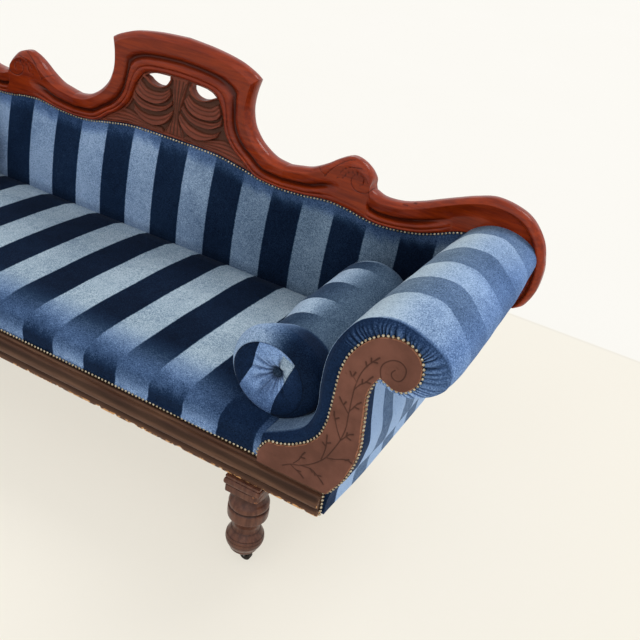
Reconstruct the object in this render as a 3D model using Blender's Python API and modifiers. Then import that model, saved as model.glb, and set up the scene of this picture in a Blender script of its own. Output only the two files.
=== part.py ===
"""Double-ended show-wood settee with scrolled arms, loose bolsters and turned legs on casters.

Metres, +Z up, +Y towards the back. The origin is on the floor at the middle of the footprint.
"""
import math

import bmesh
import bpy
from mathutils import Matrix, Vector

# Driving dimensions
seat_length = 1.372          # between the feet of the two arms
seat_depth = 0.5536          # from the front border to the foot of the inside back
frame_top = 0.3125           # top of the seat frame above the floor
frame_height = 0.0675        # height of the seat rails
arm_width = 0.338            # from the seat's end to the outside of the roll
arm_height = 0.4255          # from the seat frame to the top of the roll
crest_height = 0.5865        # from the seat frame to the top of the crest
back_lean = 0.107            # how far the back leans for each metre of height
gap = 0.0003                 # between pieces that touch

# Seat frame
rail_thickness = 0.045
rail_proud = 0.018           # how far the front moulding stands out of the border
end_rail_thickness = 0.060
arm_foot_share = 0.447       # of the arm's width, carried by the frame
brace_width = 0.040
brace_height = 0.038

# Seat
spring_cloth_thickness = 0.001
border_height = 0.055
border_round = 0.035
seat_crown = 0.016
border_swell = 0.002         # how far the border bows out
web_width = 0.050
web_thickness = 0.0012
web_rise = 0.0038            # underside of the webbing above the bottom of the rails
dust_cover_thickness = 0.001
dust_cover_rise = 0.0006
spring_columns = 4
spring_rows = 2
spring_turns = 3
spring_turn_points = 6
spring_end_radius = 0.036
spring_waist_radius = 0.022
spring_wire_radius = 0.0016
lashing_width = 0.004
lashing_thickness = 0.0022

# Back
pad_thickness = 0.016
back_crown = 0.012
back_fullness = 0.6          # under 1 the crown rises quickly from its edges
back_rise_points = 7
crown_fade = 0.090           # length over which the crown of the inside back dies away
crown_margin = 0.040         # from the end of the crown to the arms
post_thickness = 0.030
stay_width = 0.050
lower_rail_height = 0.045
lower_rail_rise = 0.033
pad_rise = 0.018
pad_tuck = 0.0015            # between the show-wood and what ends under it
crease_share = 0.6           # of the crown, left free for the inside back behind the seat
back_cloth_thickness = 0.002
back_cloth_lap = 0.012

# Show-wood
show_proud = 0.014           # how far the show rail stands in front of the inside back
panel_recess = 0.003
panel_thickness = 0.016
knob_radius = 0.036
knob_height = 0.006
knob_round = 0.004
plaque_thickness = 0.018
plaque_proud = 0.012

# Arms
roll_taper = 0.258           # how much smaller the roll is at the back
arm_rail_points = 12
stump_thickness = 0.025
arm_rail_radius = 0.024
arm_front_round = 0.014
arm_cloth_thickness = 0.0025

# Bolsters
bolster_radius = 0.105
bolster_length = 0.470
bolster_setback = 0.053
bolster_inset = 0.023        # axis from the seat's end, towards the middle
bolster_sink = 0.017
bolster_pleats = 12
bolster_lift = 0.006         # depth of the gathers round the button
button_radius = 0.011
button_height = 0.006

# Legs and casters
leg_inset = 0.1725           # from the frame's end to the leg's axis
leg_setback = 0.0248         # from the front border to the leg's axis
block_side = 0.088
block_height = 0.044
block_round = 0.003
leg_drum_radius = 0.043
tenon_radius = 0.012
tenon_length = 0.040
socket_radius = 0.021
socket_plate = 0.003
socket_tube_radius = 0.006
socket_tube_length = 0.030
pin_radius = 0.003
pin_length = 0.018
wheel_radius = 0.0135
wheel_facets = 24
wheel_width = 0.011
wheel_trail = 0.009
wheel_clearance = 0.0012
axle_radius = 0.002
horn_plate = 0.0025
horn_radius = 0.013
cheek_thickness = 0.0025
cheek_radius = 0.006
cheek_root_share = 0.6       # half a cheek's width at the plate, of the plate's radius
cheek_points = 5
cheek_start = math.radians(23)

# Derived places
frame_bottom = frame_top - frame_height
seat_end = seat_length / 2
frame_end = seat_end + arm_foot_share * arm_width
half_length = seat_end + arm_width
crest_top = frame_top + crest_height
block_proud = block_side / 2 - leg_setback
crest_back = seat_depth + crest_height * back_lean + post_thickness
front_y = (block_proud - crest_back) / 2
back_foot = front_y + seat_depth
cushion_base = frame_top + spring_cloth_thickness + 2 * gap
block_bottom = frame_bottom - gap - block_height
rear_rail_y = back_foot + post_thickness - rail_thickness / 2
front_rail_back = front_y + rail_thickness
rear_rail_front = rear_rail_y - rail_thickness / 2
end_rail_inside = frame_end - end_rail_thickness
post_inside = seat_end + arm_foot_share * arm_width - rail_thickness + gap
sides = {"left": -1, "right": 1}

# The show rail from the middle of the crest to the end of the tail: inner x and z, outer x and z,
# as shares of half the length and of the crest's height
crest_shares = [
    (0.0, 0.84, 0.0, 1.0), (0.049, 0.837, 0.082, 0.985), (0.088, 0.83, 0.154, 0.954),
    (0.112, 0.815, 0.199, 0.929), (0.125, 0.788, 0.22, 0.917), (0.134, 0.763, 0.215, 0.882),
    (0.143, 0.721, 0.211, 0.83), (0.15, 0.681, 0.213, 0.784), (0.164, 0.644, 0.224, 0.729),
    (0.184, 0.612, 0.247, 0.68), (0.21, 0.584, 0.274, 0.647), (0.256, 0.532, 0.301, 0.628),
    (0.329, 0.519, 0.335, 0.62),
]
rail_shares = [
    (0.329, 0.519, 0.335, 0.62), (0.385, 0.524, 0.367, 0.63), (0.415, 0.53, 0.401, 0.644),
    (0.44, 0.536, 0.438, 0.679), (0.469, 0.539, 0.461, 0.708), (0.495, 0.536, 0.485, 0.733),
    (0.518, 0.532, 0.504, 0.744), (0.535, 0.527, 0.526, 0.738), (0.551, 0.521, 0.546, 0.72),
    (0.565, 0.518, 0.562, 0.687), (0.572, 0.516, 0.564, 0.658), (0.58, 0.515, 0.568, 0.638),
    (0.606, 0.513, 0.597, 0.622), (0.656, 0.521, 0.643, 0.628), (0.706, 0.538, 0.689, 0.654),
    (0.751, 0.565, 0.73, 0.685), (0.776, 0.584, 0.765, 0.711), (0.807, 0.6, 0.808, 0.741),
    (0.832, 0.598, 0.851, 0.759), (0.852, 0.584, 0.899, 0.747), (0.863, 0.563, 0.936, 0.717),
    (0.869, 0.538, 0.968, 0.652), (0.871, 0.511, 0.984, 0.575), (0.871, 0.485, 0.986, 0.519),
    (0.871, 0.456, 0.982, 0.455), (0.874, 0.425, 0.968, 0.4), (0.884, 0.397, 0.953, 0.38),
]
tail_start_share = 0.74      # past this the rail is flat behind the arm, with a narrow bead
tail_full_share = 0.776
# Across the show rail: distance from its inner edge, and how far it stands out of the back
moulding_shares = [
    (0.0, 0.4), (0.08, 0.8), (0.26, 0.75), (0.345, 0.15), (0.385, -0.05),
    (0.43, 0.2), (0.52, 0.8), (0.7, 1.0), (0.89, 0.7), (1.0, 0.1),
]
tail_moulding_shares = [
    (0.0, 0.0), (0.25, 0.0), (0.45, 0.0), (0.6, 0.0), (0.72, 0.0),
    (0.83, 0.0), (0.87, 0.6), (0.915, 1.0), (0.965, 0.7), (1.0, 0.1),
]
show_back_shares = (0.55, 0.93)   # how deep its outer side runs, and how wide its rear is
knob_place_share = (0.528, 0.68)
# Foot of the crest panel, from the middle to where it meets the show rail
panel_tip_share = 0.9
panel_foot_shares = [(0.0, 0.57), (0.083, 0.569), (0.145, 0.565), (0.2075, 0.548), (0.256, 0.532)]
# One of the two piercings of the crest panel
piercing_shares = [
    (0.043, 0.824), (0.075, 0.821), (0.106, 0.807), (0.098, 0.789), (0.08, 0.784), (0.066, 0.797),
    (0.052, 0.807),
]
stem_shares = (0.585, 0.8)   # foot and head of the stem that stands between the leaves
stem_half_width = 0.006
relief_height = 0.005

# The arm seen from the front: x from the seat's end and z from the frame, as shares of the arm's
# width and height
arm_outside_shares = [
    (0.0, 0.14), (0.12, 0.195), (0.235, 0.262), (0.29, 0.34), (0.314, 0.434), (0.308, 0.537),
    (0.317, 0.672), (0.354, 0.777), (0.423, 0.878), (0.494, 0.939), (0.595, 0.984), (0.7, 1.0),
    (0.814, 0.99), (0.92, 0.955), (1.005, 0.9), (1.035, 0.83), (1.025, 0.765), (0.98, 0.705),
    (0.906, 0.665), (0.828, 0.647), (0.75, 0.647), (0.678, 0.66), (0.606, 0.674),
]
arm_inside_shares = [
    (0.606, 0.682), (0.65, 0.712), (0.725, 0.722), (0.8, 0.745), (0.845, 0.79), (0.845, 0.855),
    (0.79, 0.905), (0.7, 0.915), (0.61, 0.885), (0.54, 0.83), (0.495, 0.75), (0.465, 0.65),
    (0.458, 0.54), (0.455, 0.44), (0.448, 0.34), (0.415, 0.24), (0.365, 0.16), (0.315, 0.08),
]
arm_pad_foot_share = 0.293
outer_line_shares = [
    (0.59, 0.655), (0.584, 0.583), (0.59, 0.503), (0.6, 0.41), (0.615, 0.304), (0.6, 0.229),
    (0.562, 0.123), (0.512, 0.05), (0.475, 0.0),
]
plaque_inner_shares = [
    (0.006, 0.0), (0.006, 0.059), (0.058, 0.13), (0.124, 0.1455), (0.188, 0.16), (0.252, 0.188),
    (0.31, 0.224), (0.364, 0.285), (0.383, 0.376), (0.396, 0.464), (0.4, 0.572), (0.412, 0.6545),
    (0.449, 0.759), (0.519, 0.833), (0.593, 0.88), (0.644, 0.905), (0.726, 0.909), (0.803, 0.89),
    (0.846, 0.841), (0.862, 0.78), (0.835, 0.719), (0.79, 0.672), (0.737, 0.657), (0.692, 0.672),
    (0.641, 0.693),
]
plaque_outer_shares = [
    (0.641, 0.693), (0.598, 0.645), (0.584, 0.583), (0.59, 0.503), (0.6, 0.41), (0.615, 0.304),
    (0.6, 0.229), (0.562, 0.123), (0.512, 0.05), (0.475, 0.0),
]
roll_anchor_share = (0.42, 0.675)
# How the roll's taper sets in on the way to the back
roll_falls = [(0.0, 0.0), (0.3, 0.1), (0.65, 0.5), (1.0, 1.0)]
button_seat_share = 0.16
# End of a bolster: distance in from its face and radius, of its radius, and how deep its gathers are
bolster_end_shares = [
    (button_seat_share, 0.1, 0.0), (0.03, 0.3, 0.6), (-0.02, 0.62, 1.0), (0.0, 0.88, 0.5), (0.14, 1.0, 0.0),
]
roll_centre_share = (0.716, 0.817)
nest_points = 8              # of the arm's outline, that the bolster lies against
# Top of the seat behind its rounded front: how far back, of the depth, and how high, of the crown
seat_top_shares = [(0.18, 0.85), (0.45, 1.0), (0.75, 0.8), (0.93, 0.4)]

# Front rail's moulded face: how far it stands out, and height above its bottom
rail_face_shares = [
    (0.15, 1.0), (0.38, 0.975), (0.38, 0.91), (0.18, 0.885), (0.22, 0.83), (0.6, 0.79),
    (0.92, 0.695), (1.0, 0.56), (0.92, 0.42), (0.6, 0.325), (0.3, 0.29), (0.46, 0.25),
    (0.64, 0.155), (0.58, 0.06), (0.42, 0.0),
]
# Turned leg below its block: radius and height, as shares of the drum and of the turned length
leg_shares = [
    (0.72, 1.0), (0.8, 0.89), (0.97, 0.83), (1.02, 0.76), (0.96, 0.735),
    (1.03, 0.68), (1.01, 0.565), (0.86, 0.525), (0.68, 0.43), (0.66, 0.38),
    (0.8, 0.315), (0.97, 0.24), (0.97, 0.14), (0.74, 0.03), (0.68, 0.0),
]


def clear_scene():
    """An empty file to build in."""
    for thing in list(bpy.data.objects):
        bpy.data.objects.remove(thing, do_unlink=True)
    for store in (bpy.data.meshes, bpy.data.curves, bpy.data.materials, bpy.data.collections):
        for block in list(store):
            store.remove(block)


def collection(name):
    made = bpy.data.collections.new(name)
    bpy.context.scene.collection.children.link(made)
    return made


clear_scene()
settee = collection("double_ended_settee")
cutters = collection("cutters")


def finish(name, red, green, blue, roughness, metallic=0.0):
    """A Principled material."""
    made = bpy.data.materials.new(name)
    made.use_nodes = True
    shader = made.node_tree.nodes["Principled BSDF"]
    shader.inputs["Base Color"].default_value = (red, green, blue, 1.0)
    shader.inputs["Roughness"].default_value = roughness
    shader.inputs["Metallic"].default_value = metallic
    return made


def polished_wood(name):
    return finish(name, 0.22, 0.045, 0.02, 0.25)


def dark_wood(name):
    return finish(name, 0.09, 0.045, 0.03, 0.45)


def plain_wood(name):
    return finish(name, 0.42, 0.28, 0.15, 0.7)


def velvet(name):
    return finish(name, 0.05, 0.10, 0.22, 0.8)


def plain_cloth(name):
    return finish(name, 0.32, 0.26, 0.18, 0.9)


def blackened_metal(name):
    return finish(name, 0.05, 0.045, 0.04, 0.45, 0.9)


def steel(name):
    return finish(name, 0.45, 0.45, 0.46, 0.35, 1.0)


def place(name, mesh, material, home=None):
    """Links a mesh as a named object."""
    made = bpy.data.objects.new(name, mesh)
    (home or settee).objects.link(made)
    if material:
        mesh.materials.append(material(name))
    else:
        made.hide_render = True
        made.display_type = "WIRE"
    return made


def faced(mesh_maker):
    """A mesh with its doubles merged and its faces turned out."""
    mesh_maker.normal_update()
    bmesh.ops.recalc_face_normals(mesh_maker, faces=mesh_maker.faces[:])
    mesh = bpy.data.meshes.new("shape")
    mesh_maker.to_mesh(mesh)
    mesh_maker.free()
    mesh.shade_smooth()
    mesh.set_sharp_from_angle(angle=math.radians(35))
    return mesh


def loft(name, loops, material, home=None):
    """A closed body through loops of as many points each, with flat ends."""
    maker = bmesh.new()
    rings = [[maker.verts.new(point) for point in loop] for loop in loops]
    count = len(rings[0])
    for ring, after in zip(rings, rings[1:]):
        for i in range(count):
            j = (i + 1) % count
            maker.faces.new((ring[i], ring[j], after[j], after[i]))
    maker.faces.new(rings[0])
    maker.faces.new(rings[-1])
    return place(name, faced(maker), material, home)


def box(name, low, high, material, home=None):
    maker = bmesh.new()
    bmesh.ops.create_cube(maker, size=1.0)
    for vertex in maker.verts:
        vertex.co = Vector(a + (c + 0.5) * (b - a) for a, b, c in zip(low, high, vertex.co))
    return place(name, faced(maker), material, home)


def cylinder(name, centre, radius, length, axis, material, home=None, facets=16):
    """A cylinder about its centre, along X, Y or Z, with a facet square to its two other axes."""
    maker = bmesh.new()
    bmesh.ops.create_cone(
        maker, cap_ends=True, segments=facets, radius1=radius, radius2=radius, depth=length)
    bmesh.ops.rotate(maker, verts=maker.verts[:], matrix=Matrix.Rotation(math.pi / facets, 3, "Z"))
    order = {"X": (2, 0, 1), "Y": (1, 2, 0), "Z": (0, 1, 2)}[axis]
    for vertex in maker.verts:
        vertex.co = Vector([vertex.co[i] for i in order]) + Vector(centre)
    return place(name, faced(maker), material, home)


def as_mesh(thing):
    """The evaluated object as a plain mesh object with its doubles merged."""
    depsgraph = bpy.context.evaluated_depsgraph_get()
    mesh = bpy.data.meshes.new_from_object(thing.evaluated_get(depsgraph))
    mesh.transform(thing.matrix_world)
    maker = bmesh.new()
    maker.from_mesh(mesh)
    bmesh.ops.remove_doubles(maker, verts=maker.verts[:], dist=0.00001)
    bmesh.ops.recalc_face_normals(maker, faces=maker.faces[:])
    maker.to_mesh(mesh)
    maker.free()
    mesh.shade_smooth()
    mesh.set_sharp_from_angle(angle=math.radians(35))
    return mesh


def remake(thing, mesh):
    """Gives the object the mesh and drops its modifiers."""
    for modifier in list(thing.modifiers):
        thing.modifiers.remove(modifier)
    thing.data = mesh
    return thing


def plate(name, outline, low, high, material, home=None):
    """A flat outline in X and Z, from low to high along Y."""
    curve = bpy.data.curves.new(name, "CURVE")
    curve.dimensions = "2D"
    curve.fill_mode = "BOTH"
    curve.extrude = (high - low) / 2
    spline = curve.splines.new("POLY")
    spline.points.add(len(outline) - 1)
    for point, (x, z) in zip(spline.points, outline):
        point.co = (x, z, 0.0, 1.0)
    spline.use_cyclic_u = True
    flat = bpy.data.objects.new(name, curve)
    cutters.objects.link(flat)
    flat.rotation_euler = (math.pi / 2, 0.0, 0.0)
    flat.location = (0.0, (low + high) / 2, 0.0)
    bpy.context.view_layer.update()
    mesh = as_mesh(flat)
    bpy.data.objects.remove(flat)
    return place(name, mesh, material, home)


def combine(thing, other, operation):
    """Cuts or joins with an exact Boolean and drops the other object."""
    modifier = thing.modifiers.new(operation, "BOOLEAN")
    modifier.operation = operation
    modifier.object = other
    bpy.context.view_layer.update()
    mesh = as_mesh(thing)
    material = thing.data.materials[0] if thing.data.materials else None
    remake(thing, mesh)
    mesh.materials.clear()
    if material:
        mesh.materials.append(material)
    bpy.data.objects.remove(other)
    return thing


def bevel(thing, width, segments=2):
    modifier = thing.modifiers.new("rounded", "BEVEL")
    modifier.width = width
    modifier.segments = segments
    modifier.limit_method = "ANGLE"
    modifier.angle_limit = math.radians(50)
    return thing


def turned(name, profile, centre, material, steps=20, home=None):
    """Profile of radius and height, top to bottom, turned about Z at the centre."""
    mesh = bpy.data.meshes.new(name)
    points = [(radius, 0.0, height) for radius, height in profile]
    mesh.from_pydata(points, [(i, i + 1) for i in range(len(points) - 1)], [])
    made = place(name, mesh, material, home)
    screw = made.modifiers.new("turned", "SCREW")
    screw.steps = steps
    screw.render_steps = steps
    screw.use_merge_vertices = True
    screw.merge_threshold = 0.00001
    screw.use_smooth_shade = True
    bpy.context.view_layer.update()
    materials = mesh.materials[0] if mesh.materials else None
    solid = as_mesh(made)
    solid.transform(Matrix.Translation(centre))
    remake(made, solid)
    solid.materials.clear()
    if materials:
        solid.materials.append(materials)
    return made


def smooth(points, steps):
    """A curve through the points, with steps to each span (Catmull-Rom)."""
    made = []
    for i in range(len(points) - 1):
        before = points[max(i - 1, 0)]
        start, end = points[i], points[i + 1]
        after = points[min(i + 2, len(points) - 1)]
        for step in range(steps):
            t = step / steps
            point = []
            for a, b, c, d in zip(before, start, end, after):
                second, third = 2 * a - 5 * b + 4 * c - d, 3 * b - a - 3 * c + d
                point.append(b + ((c - a) * t + second * t ** 2 + third * t ** 3) / 2)
            made.append(tuple(point))
    made.append(tuple(points[-1]))
    return made


def moved_in(points, distance, fade_points=4):
    """An open run of points shifted to its left by a distance, which fades out at both ends."""
    made = []
    last = len(points) - 1
    for i, point in enumerate(points):
        before, after = points[max(i - 1, 0)], points[min(i + 1, last)]
        along = Vector((after[0] - before[0], after[1] - before[1])).normalized()
        fade = min(1.0, i / fade_points, (last - i) / fade_points)
        made.append((point[0] - along.y * distance * fade, point[1] + along.x * distance * fade))
    return made


def back_plane(z):
    """The foot-to-crest face of the inside back at a height."""
    return back_foot + (z - frame_top) * back_lean


def leaned(thing):
    """Shears an upright piece of the back so that it leans."""
    for vertex in thing.data.vertices:
        vertex.co.y += back_plane(vertex.co.z)
    return thing


def on_back(x_share, z_share):
    return (x_share * half_length, frame_top + z_share * crest_height)


def lower_edge():
    """The show-wood's lower edge along the nails, from the middle to the arm."""
    edge = smooth([on_back(*share) for share in panel_foot_shares], 2)[:-1]
    meets = panel_foot_shares[-1][0]
    edge += [on_back(row[0], row[1]) for row in smooth(crest_shares, 2)[:-1] if row[0] >= meets]
    edge += [on_back(row[0], row[1]) for row in smooth(rail_shares, 2) if row[0] <= tail_full_share]
    return edge


nail_edge = lower_edge()


def nail_edge_height(x):
    """Height of the show-wood's lower edge."""
    x = abs(x)
    for (x0, z0), (x1, z1) in zip(nail_edge, nail_edge[1:]):
        if x <= x1:
            return z0 + (z1 - z0) * (x - x0) / (x1 - x0)
    return nail_edge[-1][1]


def show_section(inner, outer, x_share):
    """One loop of points across the show rail, in X, Y before it leans, and Z."""
    blend = (x_share - tail_start_share) / (tail_full_share - tail_start_share)
    blend = min(max(blend, 0.0), 1.0)
    loop = []
    for (across, stand), (tail_across, tail_stand) in zip(moulding_shares, tail_moulding_shares):
        s = across + (tail_across - across) * blend
        w = (stand + (tail_stand - stand) * blend) * show_proud
        loop.append((inner[0] + (outer[0] - inner[0]) * s, -w, inner[1] + (outer[1] - inner[1]) * s))
    side_share, back_share = show_back_shares
    loop.append((outer[0], post_thickness * side_share, outer[1]))
    loop.append((inner[0] + (outer[0] - inner[0]) * back_share, post_thickness,
                 inner[1] + (outer[1] - inner[1]) * back_share))
    loop.append((inner[0], post_thickness, inner[1]))
    return loop


def show_loops(rows, side):
    loops = []
    for inner_x, inner_z, outer_x, outer_z in rows:
        inner, outer = on_back(inner_x, inner_z), on_back(outer_x, outer_z)
        loops.append([(x * side, y, z) for x, y, z in show_section(inner, outer, abs(inner_x))])
    return loops


def make_crest():
    """The raised middle of the show rail and the pierced panel inside it."""
    rows = smooth(crest_shares, 2)
    right = show_loops(rows, 1)
    left = show_loops(rows, -1)
    leaned(loft("crest_rail", left[:0:-1] + right, polished_wood))

    edge = [on_back(row[0], row[1]) for row in rows if row[0] <= panel_foot_shares[-1][0]]
    edge[-1] = tuple(a + (b - a) * panel_tip_share for a, b in zip(edge[-2], edge[-1]))
    half = [(x - gap, z - gap) for x, z in edge]
    half[0] = (0.0, half[0][1])
    bottom = [(x, z) for x, z in nail_edge if x < half[-1][0]]
    outline = [(-x, z) for x, z in half[::-1]] + half[1:]
    outline += bottom[::-1] + [(-x, z) for x, z in bottom[1:]]
    panel = plate("crest_panel", outline, panel_recess, panel_recess + panel_thickness, polished_wood)
    reach = panel_recess + panel_thickness
    for side in sides.values():
        hole = smooth([on_back(*share) for share in piercing_shares + piercing_shares[:1]], 2)[:-1]
        cut = plate("piercing", [(x * side, z) for x, z in hole], -reach, 2 * reach, None, cutters)
        combine(panel, cut, "DIFFERENCE")
    stem_foot, stem_head = [on_back(0.0, share)[1] for share in stem_shares]
    stem = box("stem", (-stem_half_width, panel_recess - relief_height, stem_foot),
               (stem_half_width, panel_recess + relief_height, stem_head), None, cutters)
    combine(panel, stem, "UNION")
    leaned(panel)


def make_back_rails():
    """The serpentine rails with their scroll knobs, and tails that wrap the arm rolls."""
    rows = smooth(rail_shares, 2)
    for word, side in sides.items():
        loops = show_loops(rows, side)
        loops[0] = [(x + gap * side, y, z) for x, y, z in loops[0]]
        rail = loft(f"back_rail_{word}", loops, polished_wood)
        x, z = on_back(*knob_place_share)
        deep = show_proud + knob_height
        knob = cylinder("knob", (x * side, -deep / 2 + gap, z), knob_radius, deep, "Y", None, cutters, 20)
        bevel(knob, knob_round, 1)
        combine(rail, knob, "UNION")
        leaned(rail)


def back_station(x):
    """Loop of the inside back at x: up its crowned front, then down its flat rear."""
    low = frame_top + pad_rise
    high = nail_edge_height(x) - pad_tuck
    fade = min(max((seat_end - crown_margin - abs(x)) / crown_fade, 0.0), 1.0)
    fade = fade * fade * (3 - 2 * fade)
    loop = []
    for i in range(back_rise_points):
        t = i / (back_rise_points - 1)
        bulge = math.sin(math.pi * t) ** back_fullness * back_crown * fade
        loop.append((x, -bulge, low + (high - low) * t))
    loop.append((x, pad_thickness, high))
    loop.append((x, pad_thickness, low))
    return loop


def make_back():
    """Inside back, its frame, and the cloth that closes the rear."""
    stations = 40
    reach = post_inside - gap
    xs = [reach * (2 * i / stations - 1) for i in range(stations + 1)]
    leaned(loft("inside_back", [back_station(x) for x in xs], velvet))

    low = frame_top + lower_rail_rise
    high = low + lower_rail_height
    front = pad_thickness + gap
    leaned(box("back_lower_rail", (-reach, front, low), (reach, post_thickness, high), plain_wood))
    middle = on_back(crest_shares[11][0], 0.0)[0]
    for word, side in sides.items():
        near, far = middle - stay_width / 2, middle + stay_width / 2
        top = [(x, nail_edge_height(x) - pad_tuck) for x in (near, middle, far)]
        outline = [(near, high + gap)] + top + [(far, high + gap)]
        outline = [(x * side, z) for x, z in outline]
        leaned(plate(f"back_stay_{word}", outline, front, post_thickness, plain_wood))

    rows = [row for row in smooth(rail_shares, 2) if row[0] * half_length > post_inside]
    arm_share = outer_line_shares[0][1] * arm_height / crest_height
    hook = [on_back(row[0], row[1]) for row in rows if row[1] > arm_share]
    rear_line = [arm_point(u, v, 1.0) for u, v in outer_line_shares]
    cloth = arm_cloth_thickness + gap
    for word, side in sides.items():
        outline = [(post_inside, frame_top + gap), (post_inside, nail_edge_height(post_inside) - gap)]
        outline += [(x - gap, z - 2 * gap) for x, z in hook[1:]]
        outline += [(x - cloth, z) for x, z in rear_line]
        outline[-1] = (outline[-1][0], frame_top + gap)
        outline = [(x * side, z) for x, z in outline]
        leaned(plate(f"back_post_{word}", outline, gap, post_thickness, plain_wood))

    behind = post_thickness + gap
    hem = frame_top + gap
    lap = [(x, z + back_cloth_lap) for x, z in nail_edge]
    side_line = lap + [(x - cloth, z) for x, z in rear_line]
    side_line[-1] = (side_line[-1][0], hem)
    outline = side_line + [(-x, z) for x, z in side_line[:0:-1]]
    leaned(plate("outside_back", outline, behind, behind + back_cloth_thickness, plain_cloth))


def roll_fall(t):
    """Share of the roll's taper at a share of the way to the back."""
    for (t0, fall0), (t1, fall1) in zip(roll_falls, roll_falls[1:]):
        if t <= t1:
            return fall0 + (fall1 - fall0) * (t - t0) / (t1 - t0)
    return 1.0


def arm_point(u, v, t):
    """X and Z of a point of the arm's section, at a share of the way to the back."""
    anchor_u, anchor_v = roll_anchor_share
    fall = roll_taper * roll_fall(t)
    if u > anchor_u:
        u = anchor_u + (u - anchor_u) * (1 - fall)
    if v > anchor_v:
        v = anchor_v + (v - anchor_v) * (1 - fall)
    return seat_end + u * arm_width, frame_top + v * arm_height


def arm_loop(points, side, front, t):
    """A loop of the arm's section as points in space; the last one lies on the leaning back."""
    loop = []
    for x, z in points:
        rear = back_plane(z) - gap
        loop.append((x * side, front + (rear - front) * t, z))
    return loop


def arm_section(t, inset=0.0):
    """Section of the arm pad: the fabric's run, then the frame's side of it."""
    outside = smooth([arm_point(u, v, t) for u, v in arm_outside_shares], 2)
    outside = moved_in(outside, -inset)
    inside = [arm_point(u, v, t) for u, v in arm_inside_shares]
    foot = [arm_point(arm_pad_foot_share, 0.0, t)[0], cushion_base]
    start = [seat_end + gap, cushion_base]
    outside[0] = (seat_end + gap, outside[0][1])
    return outside + inside + [foot, start]


def make_arms():
    """Stuffed scroll arms on their stumps and rails, with show-wood plaques in front."""
    front = front_y - plaque_proud + plaque_thickness + gap
    for word, side in sides.items():
        rounding = [(0.0, 1.0), (0.25, 0.45), (1.0, 0.0)]
        loops = []
        for deep, inset in rounding:
            ring = arm_section(0.0, arm_front_round * inset)
            loops.append(arm_loop(ring, side, front + arm_front_round * deep, 0.0))
        for t, _ in roll_falls[1:]:
            loops.append(arm_loop(arm_section(t), side, front, t))
        loft(f"arm_pad_{word}", loops, velvet)

        edge = [arm_point(u, v, 0.0) for u, v in plaque_inner_shares]
        outline = smooth(edge, 2)[:-1] + smooth([arm_point(u, v, 0.0) for u, v in plaque_outer_shares], 2)
        outline[0] = (seat_end + gap, frame_top + gap)
        outline[-1] = (outline[-1][0], frame_top + gap)
        plate(f"scroll_plaque_{word}", [(x * side, z) for x, z in outline], front_y - plaque_proud,
              front_y - plaque_proud + plaque_thickness, dark_wood)

        make_arm_frame(word, side, front)


def stump_outline(t):
    """The board that fills the arm's hollow from the frame up into the roll."""
    inside = [arm_point(u, v, t) for u, v in arm_inside_shares]
    shrunk = []
    for i, point in enumerate(inside):
        before, after = inside[max(i - 1, 0)], inside[min(i + 1, len(inside) - 1)]
        along = Vector((after[0] - before[0], after[1] - before[1])).normalized()
        shrunk.append((point[0] - along.y * 2 * gap, point[1] + along.x * 2 * gap))
    foot = (arm_point(arm_pad_foot_share, 0.0, t)[0] + 2 * gap, frame_top + gap)
    cloth = arm_cloth_thickness + gap
    outer = [(x - cloth, z) for x, z in (arm_point(u, v, t) for u, v in outer_line_shares)]
    outer[-1] = (outer[-1][0], frame_top + gap)
    return shrunk + [foot] + outer[::-1]


def make_arm_frame(word, side, front):
    """Stumps, arm rail and the outside arm's cloth."""
    depth = back_foot - front
    near = stump_thickness / depth
    for place_word, ends in (("front", (0.0, near)), ("rear", (1.0 - near, 1.0))):
        loops = [arm_loop(stump_outline(t), side, front, t) for t in ends]
        loft(f"arm_stump_{place_word}_{word}", loops, plain_wood)

    near += 2 * gap / depth
    loops = []
    for t in (near, 1.0 - near):
        x, z = arm_point(*roll_centre_share, t)
        ring = []
        for i in range(arm_rail_points):
            angle = 2 * math.pi * i / arm_rail_points
            ring.append((x + math.cos(angle) * arm_rail_radius, z + math.sin(angle) * arm_rail_radius))
        loops.append(arm_loop(ring, side, front, t))
    loft(f"arm_rail_{word}", loops, plain_wood)

    loops = []
    foot = frame_bottom + gap
    for t, _ in roll_falls:
        line = [arm_point(u, v, t) for u, v in outer_line_shares]
        line.append((frame_end + gap + arm_cloth_thickness, foot))
        inner = [(x - arm_cloth_thickness, z) for x, z in line[::-1]]
        loop = []
        for x, z in line + inner:
            rear = back_plane(max(z, frame_top)) + post_thickness
            loop.append((x * side, front + (rear - front) * t, z))
        loops.append(loop)
    loft(f"outside_arm_{word}", loops, velvet)


def seat_station(x):
    """Loop of the seat at x: front border, crowned top, leaning rear."""
    fall = (abs(x) / seat_end) ** 4
    crown = seat_crown * (1 - 0.5 * fall)
    top = frame_top + border_height
    run = [
        (0.0, cushion_base), (-border_swell, frame_top + border_height / 2), (border_swell, top),
        (border_round / 3, top + crown / 3), (border_round, top + crown * 2 / 3),
    ]
    run += [(back * seat_depth, top + up * crown) for back, up in seat_top_shares]
    loop = [(x, front_y + y, z) for y, z in smooth(run, 2)]
    clear = gap + crease_share * back_crown
    loop.append((x, back_plane(top) - clear, top))
    loop.append((x, back_plane(cushion_base) - clear, cushion_base))
    return loop


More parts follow.
